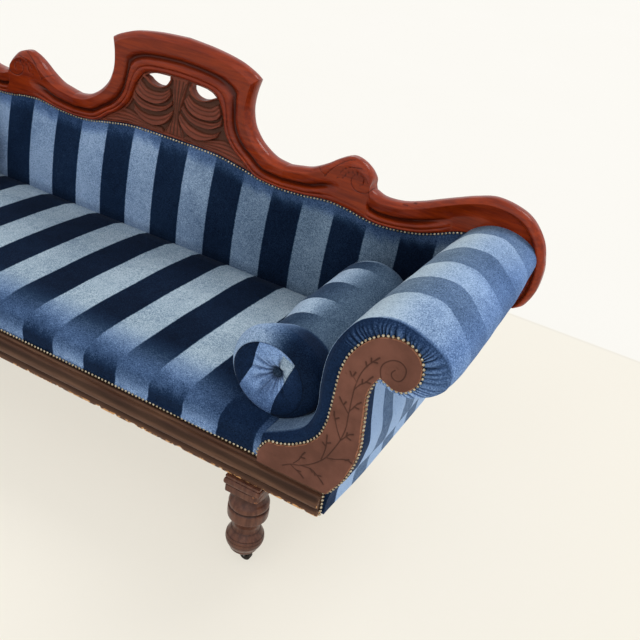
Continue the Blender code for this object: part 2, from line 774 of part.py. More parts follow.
def make_seat():
    """Seat, spring cloth, springs, webbing and dust cover."""
    stations = 12
    xs = [seat_end * math.sin(math.pi / 2 * (2 * i / stations - 1)) for i in range(stations + 1)]
    loft("seat", [seat_station(x) for x in xs], velvet)

    low = frame_top + gap
    cloth_end = arm_point(arm_pad_foot_share, 0.0, 0.0)[0] - gap
    box("spring_cloth", (-cloth_end, front_y - plaque_proud + plaque_thickness + gap, low),
        (cloth_end, back_foot - gap, low + spring_cloth_thickness), plain_cloth)

    low = frame_bottom + dust_cover_rise
    box("dust_cover", (-end_rail_inside + gap, front_rail_back + gap, low),
        (end_rail_inside - gap, rear_rail_front - gap, low + dust_cover_thickness), plain_cloth)

    inner_depth = rear_rail_front - front_rail_back
    columns = [end_rail_inside * ((2 * i + 1) / spring_columns - 1) for i in range(spring_columns)]
    rows = [front_rail_back + inner_depth * (i + 0.5) / spring_rows for i in range(spring_rows)]
    make_webbing(columns, rows)
    make_springs(columns, rows)


def make_webbing(columns, rows):
    low = frame_bottom + web_rise
    lap = web_thickness / 2
    webbing = None
    for y in rows:
        name = "webbing" if webbing is None else "web"
        along = box(name, (-end_rail_inside + gap, y - web_width / 2, low + lap),
                    (end_rail_inside - gap, y + web_width / 2, low + lap + web_thickness), plain_cloth)
        if webbing:
            combine(webbing, along, "UNION")
            continue
        webbing = along
        for x in columns:
            across = box("web", (x - web_width / 2, front_rail_back + gap, low),
                         (x + web_width / 2, rear_rail_front - gap, low + web_thickness), None, cutters)
            combine(webbing, across, "UNION")


def make_springs(columns, rows):
    """Waisted coil springs on the webbing, lashed together across their tops."""
    low = frame_bottom + web_rise + 1.5 * web_thickness + gap + spring_wire_radius
    high = frame_top - spring_wire_radius
    curve = bpy.data.curves.new("springs", "CURVE")
    curve.dimensions = "3D"
    curve.bevel_depth = spring_wire_radius
    curve.bevel_resolution = 0
    curve.use_fill_caps = True
    count = spring_turns * spring_turn_points
    for x in columns:
        for y in rows:
            spline = curve.splines.new("POLY")
            spline.points.add(count)
            level = spring_turn_points - 1
            for i, point in enumerate(spline.points):
                t = min(max((i - level) / (count - 2 * level), 0.0), 1.0)
                flare = (spring_end_radius - spring_waist_radius) * (2 * t - 1) ** 2
                radius = spring_waist_radius + flare
                angle = 2 * math.pi * i / spring_turn_points
                out, along = radius * math.cos(angle), radius * math.sin(angle)
                point.co = (x + out, y + along, low + (high - low) * t, 1.0)
    coils = bpy.data.objects.new("springs", curve)
    cutters.objects.link(coils)
    bpy.context.view_layer.update()
    mesh = as_mesh(coils)
    bpy.data.objects.remove(coils)
    springs = place("seat_springs", mesh, steel)
    top = high + spring_wire_radius / 2
    half = lashing_width / 2
    for x in columns:
        lash = box("lash", (x - half, front_rail_back + gap, top - lashing_thickness),
                   (x + half, rear_rail_front - gap, top), None, cutters)
        combine(springs, lash, "UNION")
    for y in rows:
        lash = box("lash", (-end_rail_inside + gap, y - half, top - lashing_thickness),
                   (end_rail_inside - gap, y + half, top), None, cutters)
        combine(springs, lash, "UNION")


def make_frame():
    """Front, rear and end rails, and the brace across the middle."""
    face = [(front_y - out * rail_proud, frame_bottom + up * frame_height) for out, up in rail_face_shares]
    section = [(front_rail_back, frame_top)] + face + [(front_rail_back, frame_bottom)]
    loops = [[(x, y, z) for y, z in section] for x in (-frame_end, frame_end)]
    front_rail = loft("front_rail", loops, dark_wood)
    rear_rail = box("rear_rail", (-frame_end, rear_rail_front, frame_bottom),
                    (frame_end, rear_rail_front + rail_thickness, frame_top), dark_wood)
    for side in sides.values():
        for rail, y in ((front_rail, front_y + leg_setback), (rear_rail, rear_rail_y)):
            x = side * (frame_end - leg_inset)
            deep = tenon_length + 2 * gap
            bore = cylinder("bore", (x, y, frame_bottom), tenon_radius + gap, 2 * deep, "Z", None, cutters)
            combine(rail, bore, "DIFFERENCE")
    for word, side in sides.items():
        low = min(side * end_rail_inside, side * frame_end)
        high = max(side * end_rail_inside, side * frame_end)
        box(f"end_rail_{word}", (low, front_rail_back + gap, frame_bottom),
            (high, rear_rail_front - gap, frame_top), plain_wood)

    brace_top = frame_top - 2 * lashing_thickness
    box("seat_brace", (-brace_width / 2, front_rail_back + gap, brace_top - brace_height),
        (brace_width / 2, rear_rail_front - gap, brace_top), plain_wood)


def bolster_loops(x, side, z, front):
    """Rings from the front button seat to the rear one; the ends are gathered."""
    ring_points = 3 * bolster_pleats
    rings = []
    for back in (False, True):
        half = []
        for deep, radius, gather in bolster_end_shares:
            ring = []
            for i in range(ring_points):
                angle = 2 * math.pi * i / ring_points
                fold = math.cos(bolster_pleats * angle) * gather * bolster_lift
                y = deep * bolster_radius + fold + bolster_lift
                y = front + bolster_length - y if back else front + y
                ring.append((x + side * radius * bolster_radius * math.cos(angle), y,
                             z + radius * bolster_radius * math.sin(angle)))
            half.append(ring)
        rings += half[::-1] if back else half
    return rings


def make_bolsters():
    """Loose round bolsters with gathered ends and a button at each end."""
    z = frame_top + border_height + seat_crown + gap + bolster_radius - bolster_sink
    front = front_y + bolster_setback
    for word, side in sides.items():
        x = side * (seat_end - bolster_inset)
        bolster = loft(f"bolster_{word}", bolster_loops(x, side, z, front), velvet)
        far = bolster_length + 2 * bolster_setback
        bed = box("bed", (x - 2 * bolster_radius, front_y, z - 2 * bolster_radius),
                  (x + 2 * bolster_radius, front_y + far, z - bolster_radius + bolster_sink), None, cutters)
        combine(bolster, bed, "DIFFERENCE")
        nest = smooth([arm_point(u, v, 0.0) for u, v in arm_outside_shares[:nest_points]], 2)
        nest = [(px - gap, pz + 2 * gap) for px, pz in nest]
        nest[0] = (seat_end, nest[0][1])
        nest += [(half_length, nest[-1][1]), (half_length, frame_top), (seat_end, frame_top)]
        arm = plate("nest", [(px * side, pz) for px, pz in nest], front_y, front_y + far, None, cutters)
        combine(bolster, arm, "DIFFERENCE")

        button_seat = button_seat_share * bolster_radius + bolster_lift
        ends = {"front": (front + button_seat, -1), "rear": (front + bolster_length - button_seat, 1)}
        for place_word, (y, toward) in ends.items():
            maker = bmesh.new()
            bmesh.ops.create_uvsphere(maker, u_segments=12, v_segments=6, radius=1.0)
            for vertex in maker.verts:
                rim = vertex.co.x * button_radius, vertex.co.y * button_radius
                rise = (vertex.co.z + 1) * button_height / 2 + gap
                vertex.co = Vector((x + rim[0], y + toward * rise, z + rim[1]))
            place(f"bolster_button_{place_word}_{word}", faced(maker), velvet)


def make_leg(name, x, y):
    """Square block, turned foot and the tenon that holds it in the rail, in one piece."""
    top = frame_bottom - gap
    half = block_side / 2
    leg = box(name, (x - half, y - half, block_bottom), (x + half, y + half, top), dark_wood)
    bevel(leg, block_round, 1)
    foot = foot_bottom()
    length = block_bottom - foot
    profile = [(0.0, top - block_height / 2)]
    profile += [(leg_shares[0][0] * leg_drum_radius, top - block_height / 2)]
    profile += [(radius * leg_drum_radius, foot + height * length) for radius, height in leg_shares]
    profile.append((0.0, foot))
    combine(leg, turned("turning", profile, (x, y, 0.0), None, 16, cutters), "UNION")
    deep = tenon_length + block_height / 2
    middle = top - block_height / 2 + deep / 2
    tenon = cylinder("tenon", (x, y, middle), tenon_radius, deep, "Z", None, cutters)
    combine(leg, tenon, "UNION")
    deep = socket_tube_length + gap
    bore = cylinder("bore", (x, y, foot), socket_tube_radius + gap, 2 * deep, "Z", None, cutters, 12)
    combine(leg, bore, "DIFFERENCE")


def swivel_top():
    """Top of the swivelling horn."""
    return 2 * wheel_radius + wheel_clearance + horn_plate


def axle_height():
    """The wheel rests on one of its facets."""
    return wheel_radius * math.cos(math.pi / wheel_facets)


def foot_bottom():
    """Underside of the turned foot, on the caster's socket plate."""
    return swivel_top() + gap + socket_plate + gap


def make_caster(place_word, x, y):
    """Socket in the foot, swivelling horn, axle and wheel."""
    plate_low = swivel_top() + gap
    plate_high = plate_low + socket_plate
    profile = [
        (0.0, plate_high + socket_tube_length), (socket_tube_radius, plate_high + socket_tube_length),
        (socket_tube_radius, plate_high), (socket_radius, plate_high), (socket_radius, plate_low),
        (pin_radius + gap, plate_low), (pin_radius + gap, plate_low + pin_length + gap),
        (0.0, plate_low + pin_length + gap),
    ]
    turned(f"caster_socket_{place_word}", profile, (x, y, 0.0), blackened_metal, 12)

    top = swivel_top()
    low = top - horn_plate
    horn_name = f"caster_horn_{place_word}"
    horn = cylinder(horn_name, (x, y, (top + low) / 2), horn_radius, horn_plate, "Z", blackened_metal)
    deep = pin_length + horn_plate / 2
    pin = cylinder("pin", (x, y, top - horn_plate / 2 + deep / 2), pin_radius, deep, "Z", None, cutters, 8)
    combine(horn, pin, "UNION")
    inside = wheel_width / 2 + wheel_clearance
    axle_x, axle_z = x + wheel_trail, axle_height()
    for side in (-1, 1):
        root = cheek_root_share * horn_radius
        outline = [(x - root, top - horn_plate / 2), (x + root, top - horn_plate / 2)]
        for i in range(cheek_points):
            angle = cheek_start - math.pi * i / (cheek_points - 1)
            out, up = cheek_radius * math.cos(angle), cheek_radius * math.sin(angle)
            outline.append((axle_x + out, axle_z + up))
        low_y, high_y = sorted((y + side * inside, y + side * (inside + cheek_thickness)))
        combine(horn, plate("cheek", outline, low_y, high_y, None, cutters), "UNION")
    reach = 2 * (inside + cheek_thickness)
    centre = (axle_x, y, axle_z)
    bore = cylinder("bore", centre, axle_radius + gap, 2 * reach, "Y", None, cutters, 12)
    combine(horn, bore, "DIFFERENCE")

    cylinder(f"caster_axle_{place_word}", centre, axle_radius, reach, "Y", steel, None, 12)
    wheel = cylinder(f"caster_wheel_{place_word}", centre, wheel_radius, wheel_width, "Y",
                     blackened_metal, None, wheel_facets)
    bore = cylinder("bore", centre, axle_radius + gap, 2 * wheel_width, "Y", None, cutters, 12)
    combine(wheel, bore, "DIFFERENCE")


def make_legs():
    for word, side in sides.items():
        x = side * (frame_end - leg_inset)
        for place_word, y in (("front", front_y + leg_setback), ("rear", rear_rail_y)):
            make_leg(f"leg_{place_word}_{word}", x, y)
            make_caster(f"{place_word}_{word}", x, y)


make_frame()
make_seat()
make_crest()
make_back_rails()
make_back()
make_arms()
make_bolsters()
make_legs()
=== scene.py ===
# %% [markdown]
# A Victorian double-ended settee: polished show-wood, striped velvet, loose bolsters, turned legs on casters.
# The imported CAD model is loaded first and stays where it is. Every finer piece made below stands for one or
# more of its nodes, so nothing here has to be fitted by eye: the names and sizes are those of the CAD source.
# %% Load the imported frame
import math

import bmesh
import bpy
import numpy as np
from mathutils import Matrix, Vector, geometry, kdtree


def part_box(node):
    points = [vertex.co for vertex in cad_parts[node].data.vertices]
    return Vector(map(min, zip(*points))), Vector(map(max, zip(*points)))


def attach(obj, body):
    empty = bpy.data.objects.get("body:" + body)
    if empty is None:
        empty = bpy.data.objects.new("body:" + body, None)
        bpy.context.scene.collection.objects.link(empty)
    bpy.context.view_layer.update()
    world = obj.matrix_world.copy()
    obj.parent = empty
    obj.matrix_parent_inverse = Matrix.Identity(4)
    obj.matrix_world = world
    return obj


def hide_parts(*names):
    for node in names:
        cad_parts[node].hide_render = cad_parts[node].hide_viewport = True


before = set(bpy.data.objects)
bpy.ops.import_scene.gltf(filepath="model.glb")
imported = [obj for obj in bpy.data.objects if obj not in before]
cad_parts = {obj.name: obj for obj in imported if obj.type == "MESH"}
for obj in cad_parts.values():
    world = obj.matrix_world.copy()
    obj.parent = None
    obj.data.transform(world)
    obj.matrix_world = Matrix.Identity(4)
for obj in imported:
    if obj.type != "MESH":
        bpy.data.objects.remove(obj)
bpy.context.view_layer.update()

# %% [markdown]
# The sizes that the pieces share, in metres. They repeat the CAD source's own values, because a piece that
# replaces a node has to fill the same space.
# %% Sizes of the settee
seat_length, seat_depth = 1.372, 0.5536
frame_top, frame_height = 0.3125, 0.0675
arm_width, arm_height, arm_foot_share = 0.338, 0.4255, 0.447
crest_height = 0.5865
back_lean, gap = 0.107, 0.0003
border_height, seat_crown, back_crown = 0.055, 0.016, 0.012
rail_thickness, rail_proud = 0.045, 0.018
post_thickness, show_proud = 0.030, 0.014
plaque_thickness, plaque_proud = 0.018, 0.012
frame_bottom = frame_top - frame_height
seat_end = seat_length / 2
frame_end = seat_end + arm_foot_share * arm_width
half_length = seat_end + arm_width
# The origin is the middle of the whole footprint; the seat's front lies a little inside the footprint's edge
front_y = -0.31357775
back_foot = front_y + seat_depth
arm_front = front_y - plaque_proud + plaque_thickness + gap
sides = {"left": -1, "right": 1}


def lean(z):
    """Y of the inside back's plane at a height."""
    return back_foot + (z - frame_top) * back_lean


def on_back(shares):
    """X and Z on the back, from shares of half the length and of the crest's height."""
    shares = np.asarray(shares, float)
    return shares * (half_length, crest_height) + (0.0, frame_top)


def ease(low, high, x):
    """0 below low, 1 above high and a soft step between them."""
    t = np.clip((np.asarray(x, float) - low) / (high - low), 0.0, 1.0)
    return t * t * (3 - 2 * t)


print("half length", round(half_length, 4), "front at", front_y)

# %% [markdown]
# Curves come from a few points, read one by one. The Catmull-Rom rule passes through every point, so a table of
# a dozen rows gives a smooth moulding; tables are split where the real edge has a corner.
# %% Smooth curves and wandering values


def smooth(rows, steps):
    """Points on a Catmull-Rom curve through the rows, with steps to each span."""
    rows = np.asarray(rows, float)
    last = len(rows) - 1
    a, b = rows[[0, *range(last - 1)]], rows[:-1]
    c, d = rows[1:], rows[[*range(2, last + 1), last]]
    t = (np.arange(steps) / steps)[None, :, None]
    a, b, c, d = (part[:, None, :] for part in (a, b, c, d))
    made = b + ((c - a) * t + (2 * a - 5 * b + 4 * c - d) * t ** 2 + (3 * b - a - 3 * c + d) * t ** 3) / 2
    return np.vstack([made.reshape(-1, rows.shape[1]), rows[-1:]])


def waver(points, size, seed=0.0):
    """A smooth value between -1 and 1 that wanders over points, with lumps about so large."""
    p = np.asarray(points, float) * (2 * math.pi / size)
    total = 0.0
    for k, (turn, speed) in enumerate(((0.3, 1.0), (1.7, 1.31), (2.9, 0.77), (4.1, 1.83))):
        way = np.array([math.cos(turn + seed), math.sin(turn * 1.3 + seed), math.cos(turn * 2.1 - seed)])
        total = total + np.sin(p @ way[:p.shape[1]] * speed + seed * 5.1 + k * 1.9)
    return total / 4


print(len(smooth([(0, 0), (1, 1), (2, 0)], 4)), "points from three")

# %% [markdown]
# One function turns points and faces into a piece. Values kept at the points, such as how worn the wood is
# or which way the velvet lies, travel with the mesh as attributes, and the materials read them.
# %% Pieces from points
sharp_angle = 35.0  # in degrees: a fold sharper than this stays crisp


def piece(name, points, faces, finish, **marks):
    """A mesh object with its normals turned out and a value or a colour kept at each point."""
    mesh = bpy.data.meshes.new(name)
    mesh.from_pydata(np.asarray(points).tolist(), [], [list(map(int, face)) for face in faces])
    for word, values in marks.items():
        values = np.asarray(values, np.float32)
        plain = values.ndim == 1
        layer = mesh.attributes.new(word, "FLOAT" if plain else "FLOAT_COLOR", "POINT")
        layer.data.foreach_set("value" if plain else "color", values.ravel())
    maker = bmesh.new()
    maker.from_mesh(mesh)
    bmesh.ops.recalc_face_normals(maker, faces=maker.faces[:])
    maker.to_mesh(mesh)
    maker.free()
    mesh.shade_smooth()
    mesh.set_sharp_from_angle(angle=math.radians(sharp_angle))
    mesh.materials.append(finish)
    made = bpy.data.objects.new(name, mesh)
    bpy.context.scene.collection.objects.link(made)
    return made


def tube_faces(rows, count):
    """Faces of a closed tube of so many rings, each of so many points."""
    ring = np.arange(count)
    after = np.roll(ring, -1)
    faces = []
    for row in range(rows - 1):
        low, high = row * count, (row + 1) * count
        faces += np.stack([low + ring, low + after, high + after, high + ring], 1).tolist()
    return faces + [ring[::-1].tolist(), (ring + (rows - 1) * count).tolist()]


def tube(name, rings, finish, **marks):
    """A closed body through rings of as many points each."""
    rings = np.asarray(rings)
    points = rings.reshape(-1, 3)
    return piece(name, points, tube_faces(*rings.shape[:2]), finish, **marks)


def mirrored(made, name):
    """A left-hand copy of a right-hand piece."""
    other = bpy.data.objects.new(name, made.data.copy())
    bpy.context.scene.collection.objects.link(other)
    flipped(other)
    return other


def flipped(made):
    """Turns a right-hand piece into a left-hand one."""
    maker = bmesh.new()
    maker.from_mesh(made.data)
    for vertex in maker.verts:
        vertex.co.x = -vertex.co.x
    bmesh.ops.recalc_face_normals(maker, faces=maker.faces[:])
    maker.to_mesh(made.data)
    maker.free()


def stands_for(made, body, slot, *nodes):
    """Ties a finished piece to its body and hides the nodes it replaces; slot is not used."""
    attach(made, body)
    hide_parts(*nodes)
    print(made.name, len(made.data.polygons), "faces")


print("folds over", sharp_angle, "degrees stay crisp")

# %% [markdown]
# The camera stands where the photographer stood: to the right of the settee, at eye height, looking down and
# a little rolled. Its place was solved from corners whose place on the object is known.
# %% Camera
camera_data = bpy.data.cameras.new("camera")
camera_data.lens = 48.592
camera_data.sensor_width = 36.0
camera = bpy.data.objects.new("camera", camera_data)
camera.location = (1.3142, -1.5137, 1.4487)
camera.rotation_euler = (1.03319, -0.1410, 0.50923)
bpy.context.scene.collection.objects.link(camera)
bpy.context.scene.camera = camera
bpy.context.scene.view_settings.view_transform = "Standard"
print("camera at", tuple(camera.location))

# %% [markdown]
# Shader sums are written as Python sums. A Value wraps a socket, so wood * 0.5 adds a Math node; colours are
# mixed with Mix nodes instead, because a Math node would turn them grey.
# %% Shader maths


class Value:
    """A socket that can be summed with others."""

    def __init__(self, finish, socket):
        self.finish, self.socket = finish, socket

    def sum(self, operation, first, second):
        return self.finish.node("ShaderNodeMath", {"operation": operation}, {0: first, 1: second})

    def __add__(self, other): return self.sum("ADD", self, other)
    def __radd__(self, other): return self.sum("ADD", other, self)
    def __sub__(self, other): return self.sum("SUBTRACT", self, other)
    def __rsub__(self, other): return self.sum("SUBTRACT", other, self)
    def __mul__(self, other): return self.sum("MULTIPLY", self, other)
    def __rmul__(self, other): return self.sum("MULTIPLY", other, self)


print("shader sums ready")

# %% [markdown]
# A Finish is one material. The same nodes could be wired by hand in the Shader Editor; written down, they come
# out the same each time, and two woods can share one wiring. Each method adds one kind of node and gives back a
# Value, ready for the next sum.
# %% Finishes made of nodes


class Finish:
    """A material whose nodes are added by one method."""

    def __init__(self, name):
        self.material = bpy.data.materials.new(name)
        self.material.use_nodes = True
        self.tree = self.material.node_tree
        self.shader = self.tree.nodes["Principled BSDF"]

    def node(self, kind, settings=None, inputs=None, output=0):
        """Adds a node, sets it up, then fills its sockets with values or links."""
        made = self.tree.nodes.new(kind)
        for word, setting in (settings or {}).items():
            if word == "stops":
                stops = made.color_ramp.elements
                while len(stops) < len(setting):
                    stops.new(0.5)
                for stop, (place, colour) in zip(stops, setting):
                    stop.position, stop.color = place, colour
            else:
                setattr(made, word, setting)
        for word, given in (inputs or {}).items():
            self.fill(made.inputs[word], given)
        return Value(self, made.outputs[output])

    def fill(self, socket, given):
        """Links a Value to a socket, or writes a plain number or colour into it."""
        if isinstance(given, Value):
            self.tree.links.new(given.socket, socket)
        else:
            socket.default_value = given

    def set(self, **inputs):
        """Fills sockets of the Principled shader; a word's low line stands for a space."""
        for word, given in inputs.items():
            self.fill(self.shader.inputs[word.replace("_", " ")], given)
        return self.material

    def mark(self, word, output="Fac"):
        """What is kept at the piece's points under a word."""
        return self.node("ShaderNodeAttribute", {"attribute_name": word}, output=output)

    def place(self):
        return self.node("ShaderNodeTexCoord", output="Object")

    def stretched(self, scale):
        """The place of each point, scaled by axis, for grain that runs one way."""
        return self.node("ShaderNodeMapping", inputs={"Vector": self.place(), "Scale": scale})

    def noise(self, scale, detail=2.0, rough=0.5, where=None):
        return self.node("ShaderNodeTexNoise", inputs={
            "Vector": where or self.place(), "Scale": scale, "Detail": detail, "Roughness": rough})

    def step(self, value, low, high):
        return self.node("ShaderNodeMapRange", {"interpolation_type": "SMOOTHSTEP"},
                         {"Value": value, "From Min": low, "From Max": high})

    def mix(self, share, first, second, blend="MIX"):
        return self.node("ShaderNodeMix", {"data_type": "RGBA", "blend_type": blend},
                         {0: share, 6: first, 7: second}, output=2)

    def blend(self, share, first, second):
        return self.node("ShaderNodeMix", {"data_type": "FLOAT"}, {0: share, 2: first, 3: second})

    def ramp(self, value, stops):
        return self.node("ShaderNodeValToRGB", {"stops": stops}, {"Fac": value})

    def bump(self, height, distance, strength=1.0):
        return self.node("ShaderNodeBump", inputs={
            "Height": height, "Distance": distance, "Strength": strength})


def tint(red, green, blue):
    """A colour written as it looks on a screen, 0 to 255."""
    linear = [((c / 255 + 0.055) / 1.055) ** 2.4 if c > 10 else c / 255 / 12.92 for c in (red, green, blue)]
    return (*linear, 1.0)


print("shader helpers ready")

# %% [markdown]
# Velvet changes tone with the lie of its pile and with the way light falls on it: the same cloth reads pale, blue or
# nearly black. The stripes are two widths of cloth with the pile brushed opposite ways, so each point carries which
# stripe it is in ("stripe", whole numbers at the middles) and how bright either stripe is painted there ("pile": the
# dark stripe's painted brightness, the light stripe's, how grey the cloth looks, partly wear and partly painted
# sheen, and the painted shade in its creases). These brightnesses are the pile's sheen and shade, painted into the
# colour.
# %% Striped velvet


def make_velvet(name):
    cloth = Finish(name)
    pile = cloth.mark("pile", "Color")
    apart = cloth.node("ShaderNodeSeparateColor", inputs={"Color": pile})
    dark, light, pale = (Value(cloth, apart.socket.node.outputs[i]) for i in range(3))
    # The pile mark's alpha is painted shade: it darkens the colour in creases, hollows and shaded places
    crease_shade = cloth.mark("pile", "Alpha")
    edge = cloth.mark("stripe") + (cloth.noise(160.0) - 0.5) * 0.03
    wave = cloth.node("ShaderNodeMath", {"operation": "PINGPONG"}, {0: edge, 1: 1.0})
    in_light = cloth.step(wave, 0.478, 0.522)
    brushed = cloth.noise(7.0, 3.0, 0.55)
    rubbed = cloth.noise(55.0, 3.0, 0.6)
    fine = cloth.noise(380.0, 2.0, 0.7)
    speck = cloth.noise(170.0, 2.0, 0.6)
    thread = cloth.noise(800.0, 1.0, 0.6)
    # Each stripe's brightness, read from the pile mark, is painted sheen and shade; the noises are the cloth's own
    # mottling
    bright = cloth.blend(in_light, dark, light)
    bright = bright + ((brushed - 0.5) * 0.4 + (rubbed - 0.5) * 0.18) * (bright + 0.3)
    bright = bright + ((fine - 0.5) * 1.6 + (speck - 0.5) * 0.35 + (thread - 0.5) * 0.6) * (bright * 0.7 + 0.2)
    blue = cloth.ramp(bright, [(0.0, tint(5, 17, 35)), (0.25, tint(28, 50, 84)), (0.5, tint(72, 100, 144)),
                               (0.75, tint(114, 146, 196)), (1.0, tint(158, 190, 236))])
    grey = cloth.ramp(bright, [(0.0, tint(5, 17, 29)), (0.25, tint(39, 59, 80)), (0.5, tint(88, 109, 130)),
                               (0.75, tint(136, 158, 177)), (1.0, tint(188, 206, 217))])
    colour = cloth.mix(pale * cloth.step(bright, 0.0, 0.3), blue, grey)
    colour = cloth.mix(1.0, colour, cloth.ramp(crease_shade, [(0.0, (0.04, 0.05, 0.08, 1)), (1.0, (1, 1, 1, 1))]),
                       "MULTIPLY")
    nap = cloth.bump(fine + thread, 0.0006, 0.5)
    return cloth.set(Base_Color=colour, Roughness=0.85, Normal=nap, Sheen_Weight=0.1,
                     Sheen_Roughness=0.35, Sheen_Tint=tint(190, 205, 230), Specular_IOR_Level=0.05)


velvet = make_velvet("striped_velvet")
print("velvet nodes", len(velvet.node_tree.nodes))

# %% [markdown]
# The wood pieces share one recipe: long streaks of grain, a darker colour where "tone" is under 1, which is dirt in
# grooves and, where the tone says so, painted shade in hollows and on shaded bands, and bare worn wood where it is
# over 1, along edges that hands and shoes have rubbed. The wear is broken up by noise so that it comes in chips.
# %% Woods


def make_wood(name, deep, plain, worn, shine, lacquer=0.0, chips=0.55, streaks=(5.0, 60.0, 60.0), dirt_and_shade_colour=None):
    wood = Finish(name)
    dirt_and_shade_colour = dirt_and_shade_colour or tuple(0.16 * c for c in deep[:3]) + (1.0,)
    tone = wood.mark("tone")
    grain = wood.noise(1.6, 6.0, 0.62, wood.stretched(streaks))
    pores = wood.noise(9.0, 3.0, 0.6, wood.stretched(streaks))
    cloud = wood.noise(5.0, 3.0)
    chip = wood.noise(75.0, 4.0, 0.65)
    colour = wood.mix(wood.step(grain, 0.3, 0.72), deep, plain)
    colour = wood.mix(wood.step(cloud, 0.35, 0.75) * 0.35, colour, deep)
    colour = wood.mix(wood.step(pores, 0.62, 0.8) * 0.35, colour, tuple(0.4 * c for c in deep[:3]) + (1.0,))
    # Under a tone of 1 the colour turns dark: dirt, and painted shade where the tone paints it
    dirt_and_shade = wood.step(tone, 1.0, 0.0)
    colour = wood.mix(dirt_and_shade * 0.9, colour, dirt_and_shade_colour)
    bare = wood.step(tone + (chip - chips) * 3.0, 1.35, 1.6) * wood.step(tone, 1.05, 1.3)
    colour = wood.mix(bare * 0.85, colour, worn)
    rough = wood.blend(dirt_and_shade, shine + (cloud - 0.5) * 0.12, 0.75)
    rough = wood.blend(bare, rough, 0.7)
    bump = wood.bump(grain * 0.3 + pores * 0.4 - bare * 1.5 + chip * 0.3, 0.0006, 0.35)
    return wood.set(Base_Color=colour, Roughness=rough, Normal=bump, Coat_Weight=lacquer,
                    Coat_Roughness=0.1, Specular_IOR_Level=0.1)


mahogany = make_wood("polished_mahogany", tint(116, 34, 6), tint(163, 57, 10), tint(208, 116, 58), 0.34, 0.3)
worn_wood = make_wood("worn_dark_wood", tint(78, 50, 37), tint(114, 81, 61), tint(238, 180, 122), 0.42, 0.1,
                      chips=0.5, dirt_and_shade_colour=tint(34, 23, 16))
plaque_wood = make_wood("plaque_wood", tint(100, 64, 52), tint(126, 82, 68), tint(166, 112, 84), 0.5, 0.05,
                        chips=0.45, streaks=(9.0, 9.0, 9.0))
leg_wood = make_wood("turned_wood", tint(80, 48, 38), tint(122, 80, 62), tint(206, 134, 84), 0.34, 0.3,
                     chips=0.62, streaks=(60.0, 60.0, 6.0))
frame_wood = make_wood("frame_wood", tint(176, 138, 92), tint(202, 168, 120), tint(214, 186, 140), 0.75)
print("woods made")

# %% [markdown]
# Metals and the plain cloths. Brass nails are slightly tarnished, the casters are black from oil and dust,
# and the hidden cloths show a plain weave made of two crossed waves.
# %% Metals and plain cloths


def make_metal(name, bright, dull, shine, spots):
    metal = Finish(name)
    cloud = metal.noise(spots, 4.0, 0.6)
    colour = metal.mix(metal.step(cloud, 0.35, 0.7), bright, dull)
    return metal.set(Base_Color=colour, Metallic=1.0, Roughness=metal.blend(cloud, shine, shine + 0.3),
                     Normal=metal.bump(cloud, 0.0004, 0.3))


def make_weave(name, colour, shade, threads):
    cloth = Finish(name)
    waves = [cloth.node("ShaderNodeTexWave", {"bands_direction": way},
                        {"Vector": cloth.place(), "Scale": threads, "Distortion": 0.6}, output="Fac")
             for way in ("X", "Z", "Y")]
    weave = waves[0] * 0.4 + waves[1] * 0.3 + waves[2] * 0.3
    fuzz = cloth.noise(260.0, 3.0)
    return cloth.set(Base_Color=cloth.mix(cloth.step(weave * 0.6 + fuzz * 0.4, 0.25, 0.75), shade, colour),
                     Roughness=0.95, Normal=cloth.bump(weave, 0.0005, 0.6), Specular_IOR_Level=0.1)


brass = make_metal("tarnished_brass", tint(206, 196, 172), tint(116, 96, 68), 0.3, 300.0)
steel = make_metal("spring_steel", tint(150, 150, 152), tint(96, 92, 88), 0.3, 90.0)
black_metal = make_metal("blackened_metal", tint(70, 66, 62), tint(38, 35, 33), 0.45, 160.0)
lining = make_weave("plain_cloth", tint(44, 54, 78), tint(26, 32, 50), 190.0)
hessian = make_weave("hessian", tint(150, 124, 86), tint(104, 82, 54), 110.0)
print("metals and cloths made")

# %% [markdown]
# A pale floor and soft light. The room's window is behind and to the right of the settee, so its light comes
# down over the back: it draws a thin bright line along the polished mouldings and throws the shade forward.
# The floor turns whiter past a faint line, where the room's wall began.
# %% Floor and light


def make_floor():
    cream = Finish("pale_floor")
    spot = cream.node("ShaderNodeSeparateXYZ", inputs={"Vector": cream.place()}, output=1)
    beyond = cream.step(spot, 1.24, 1.252)
    cloud = cream.noise(1.1, 3.0)
    fine = cream.noise(40.0, 4.0)
    near = cream.mix(cloud * 0.5 + fine * 0.15, tint(250, 245, 233), tint(245, 240, 227))
    far = cream.mix(cloud * 0.3, tint(252, 250, 244), tint(248, 245, 236))
    line = cream.step(spot, 1.228, 1.24) * (1 - cream.step(spot, 1.24, 1.25)) * 0.3
    colour = cream.mix(line, cream.mix(beyond, near, far), tint(226, 223, 214))
    paint = cream.set(Base_Color=colour, Roughness=0.6, Specular_IOR_Level=0.2)
    rays = [cream.node("ShaderNodeLightPath", output=word)
            for word in ("Is Camera Ray", "Is Glossy Ray", "Is Transmission Ray")]
    shown = (rays[0] + rays[1] + rays[2]) * 0.7
    glow = cream.node("ShaderNodeEmission", inputs={"Color": colour, "Strength": 1.0})
    lit = Value(cream, cream.shader.outputs[0])
    mixed = cream.node("ShaderNodeMixShader", inputs={0: shown, 1: lit, 2: glow})
    cream.tree.links.new(mixed.socket, cream.tree.nodes["Material Output"].inputs["Surface"])
    reach = 14.0
    corners = [(-reach, -reach, 0), (reach, -reach, 0), (reach, reach, 0), (-reach, reach, 0)]
    floor = bpy.data.meshes.new("floor")
    floor.from_pydata(corners, [], [(0, 1, 2, 3)])
    floor.materials.append(paint)
    made = bpy.data.objects.new("floor", floor)
    bpy.context.scene.collection.objects.link(made)


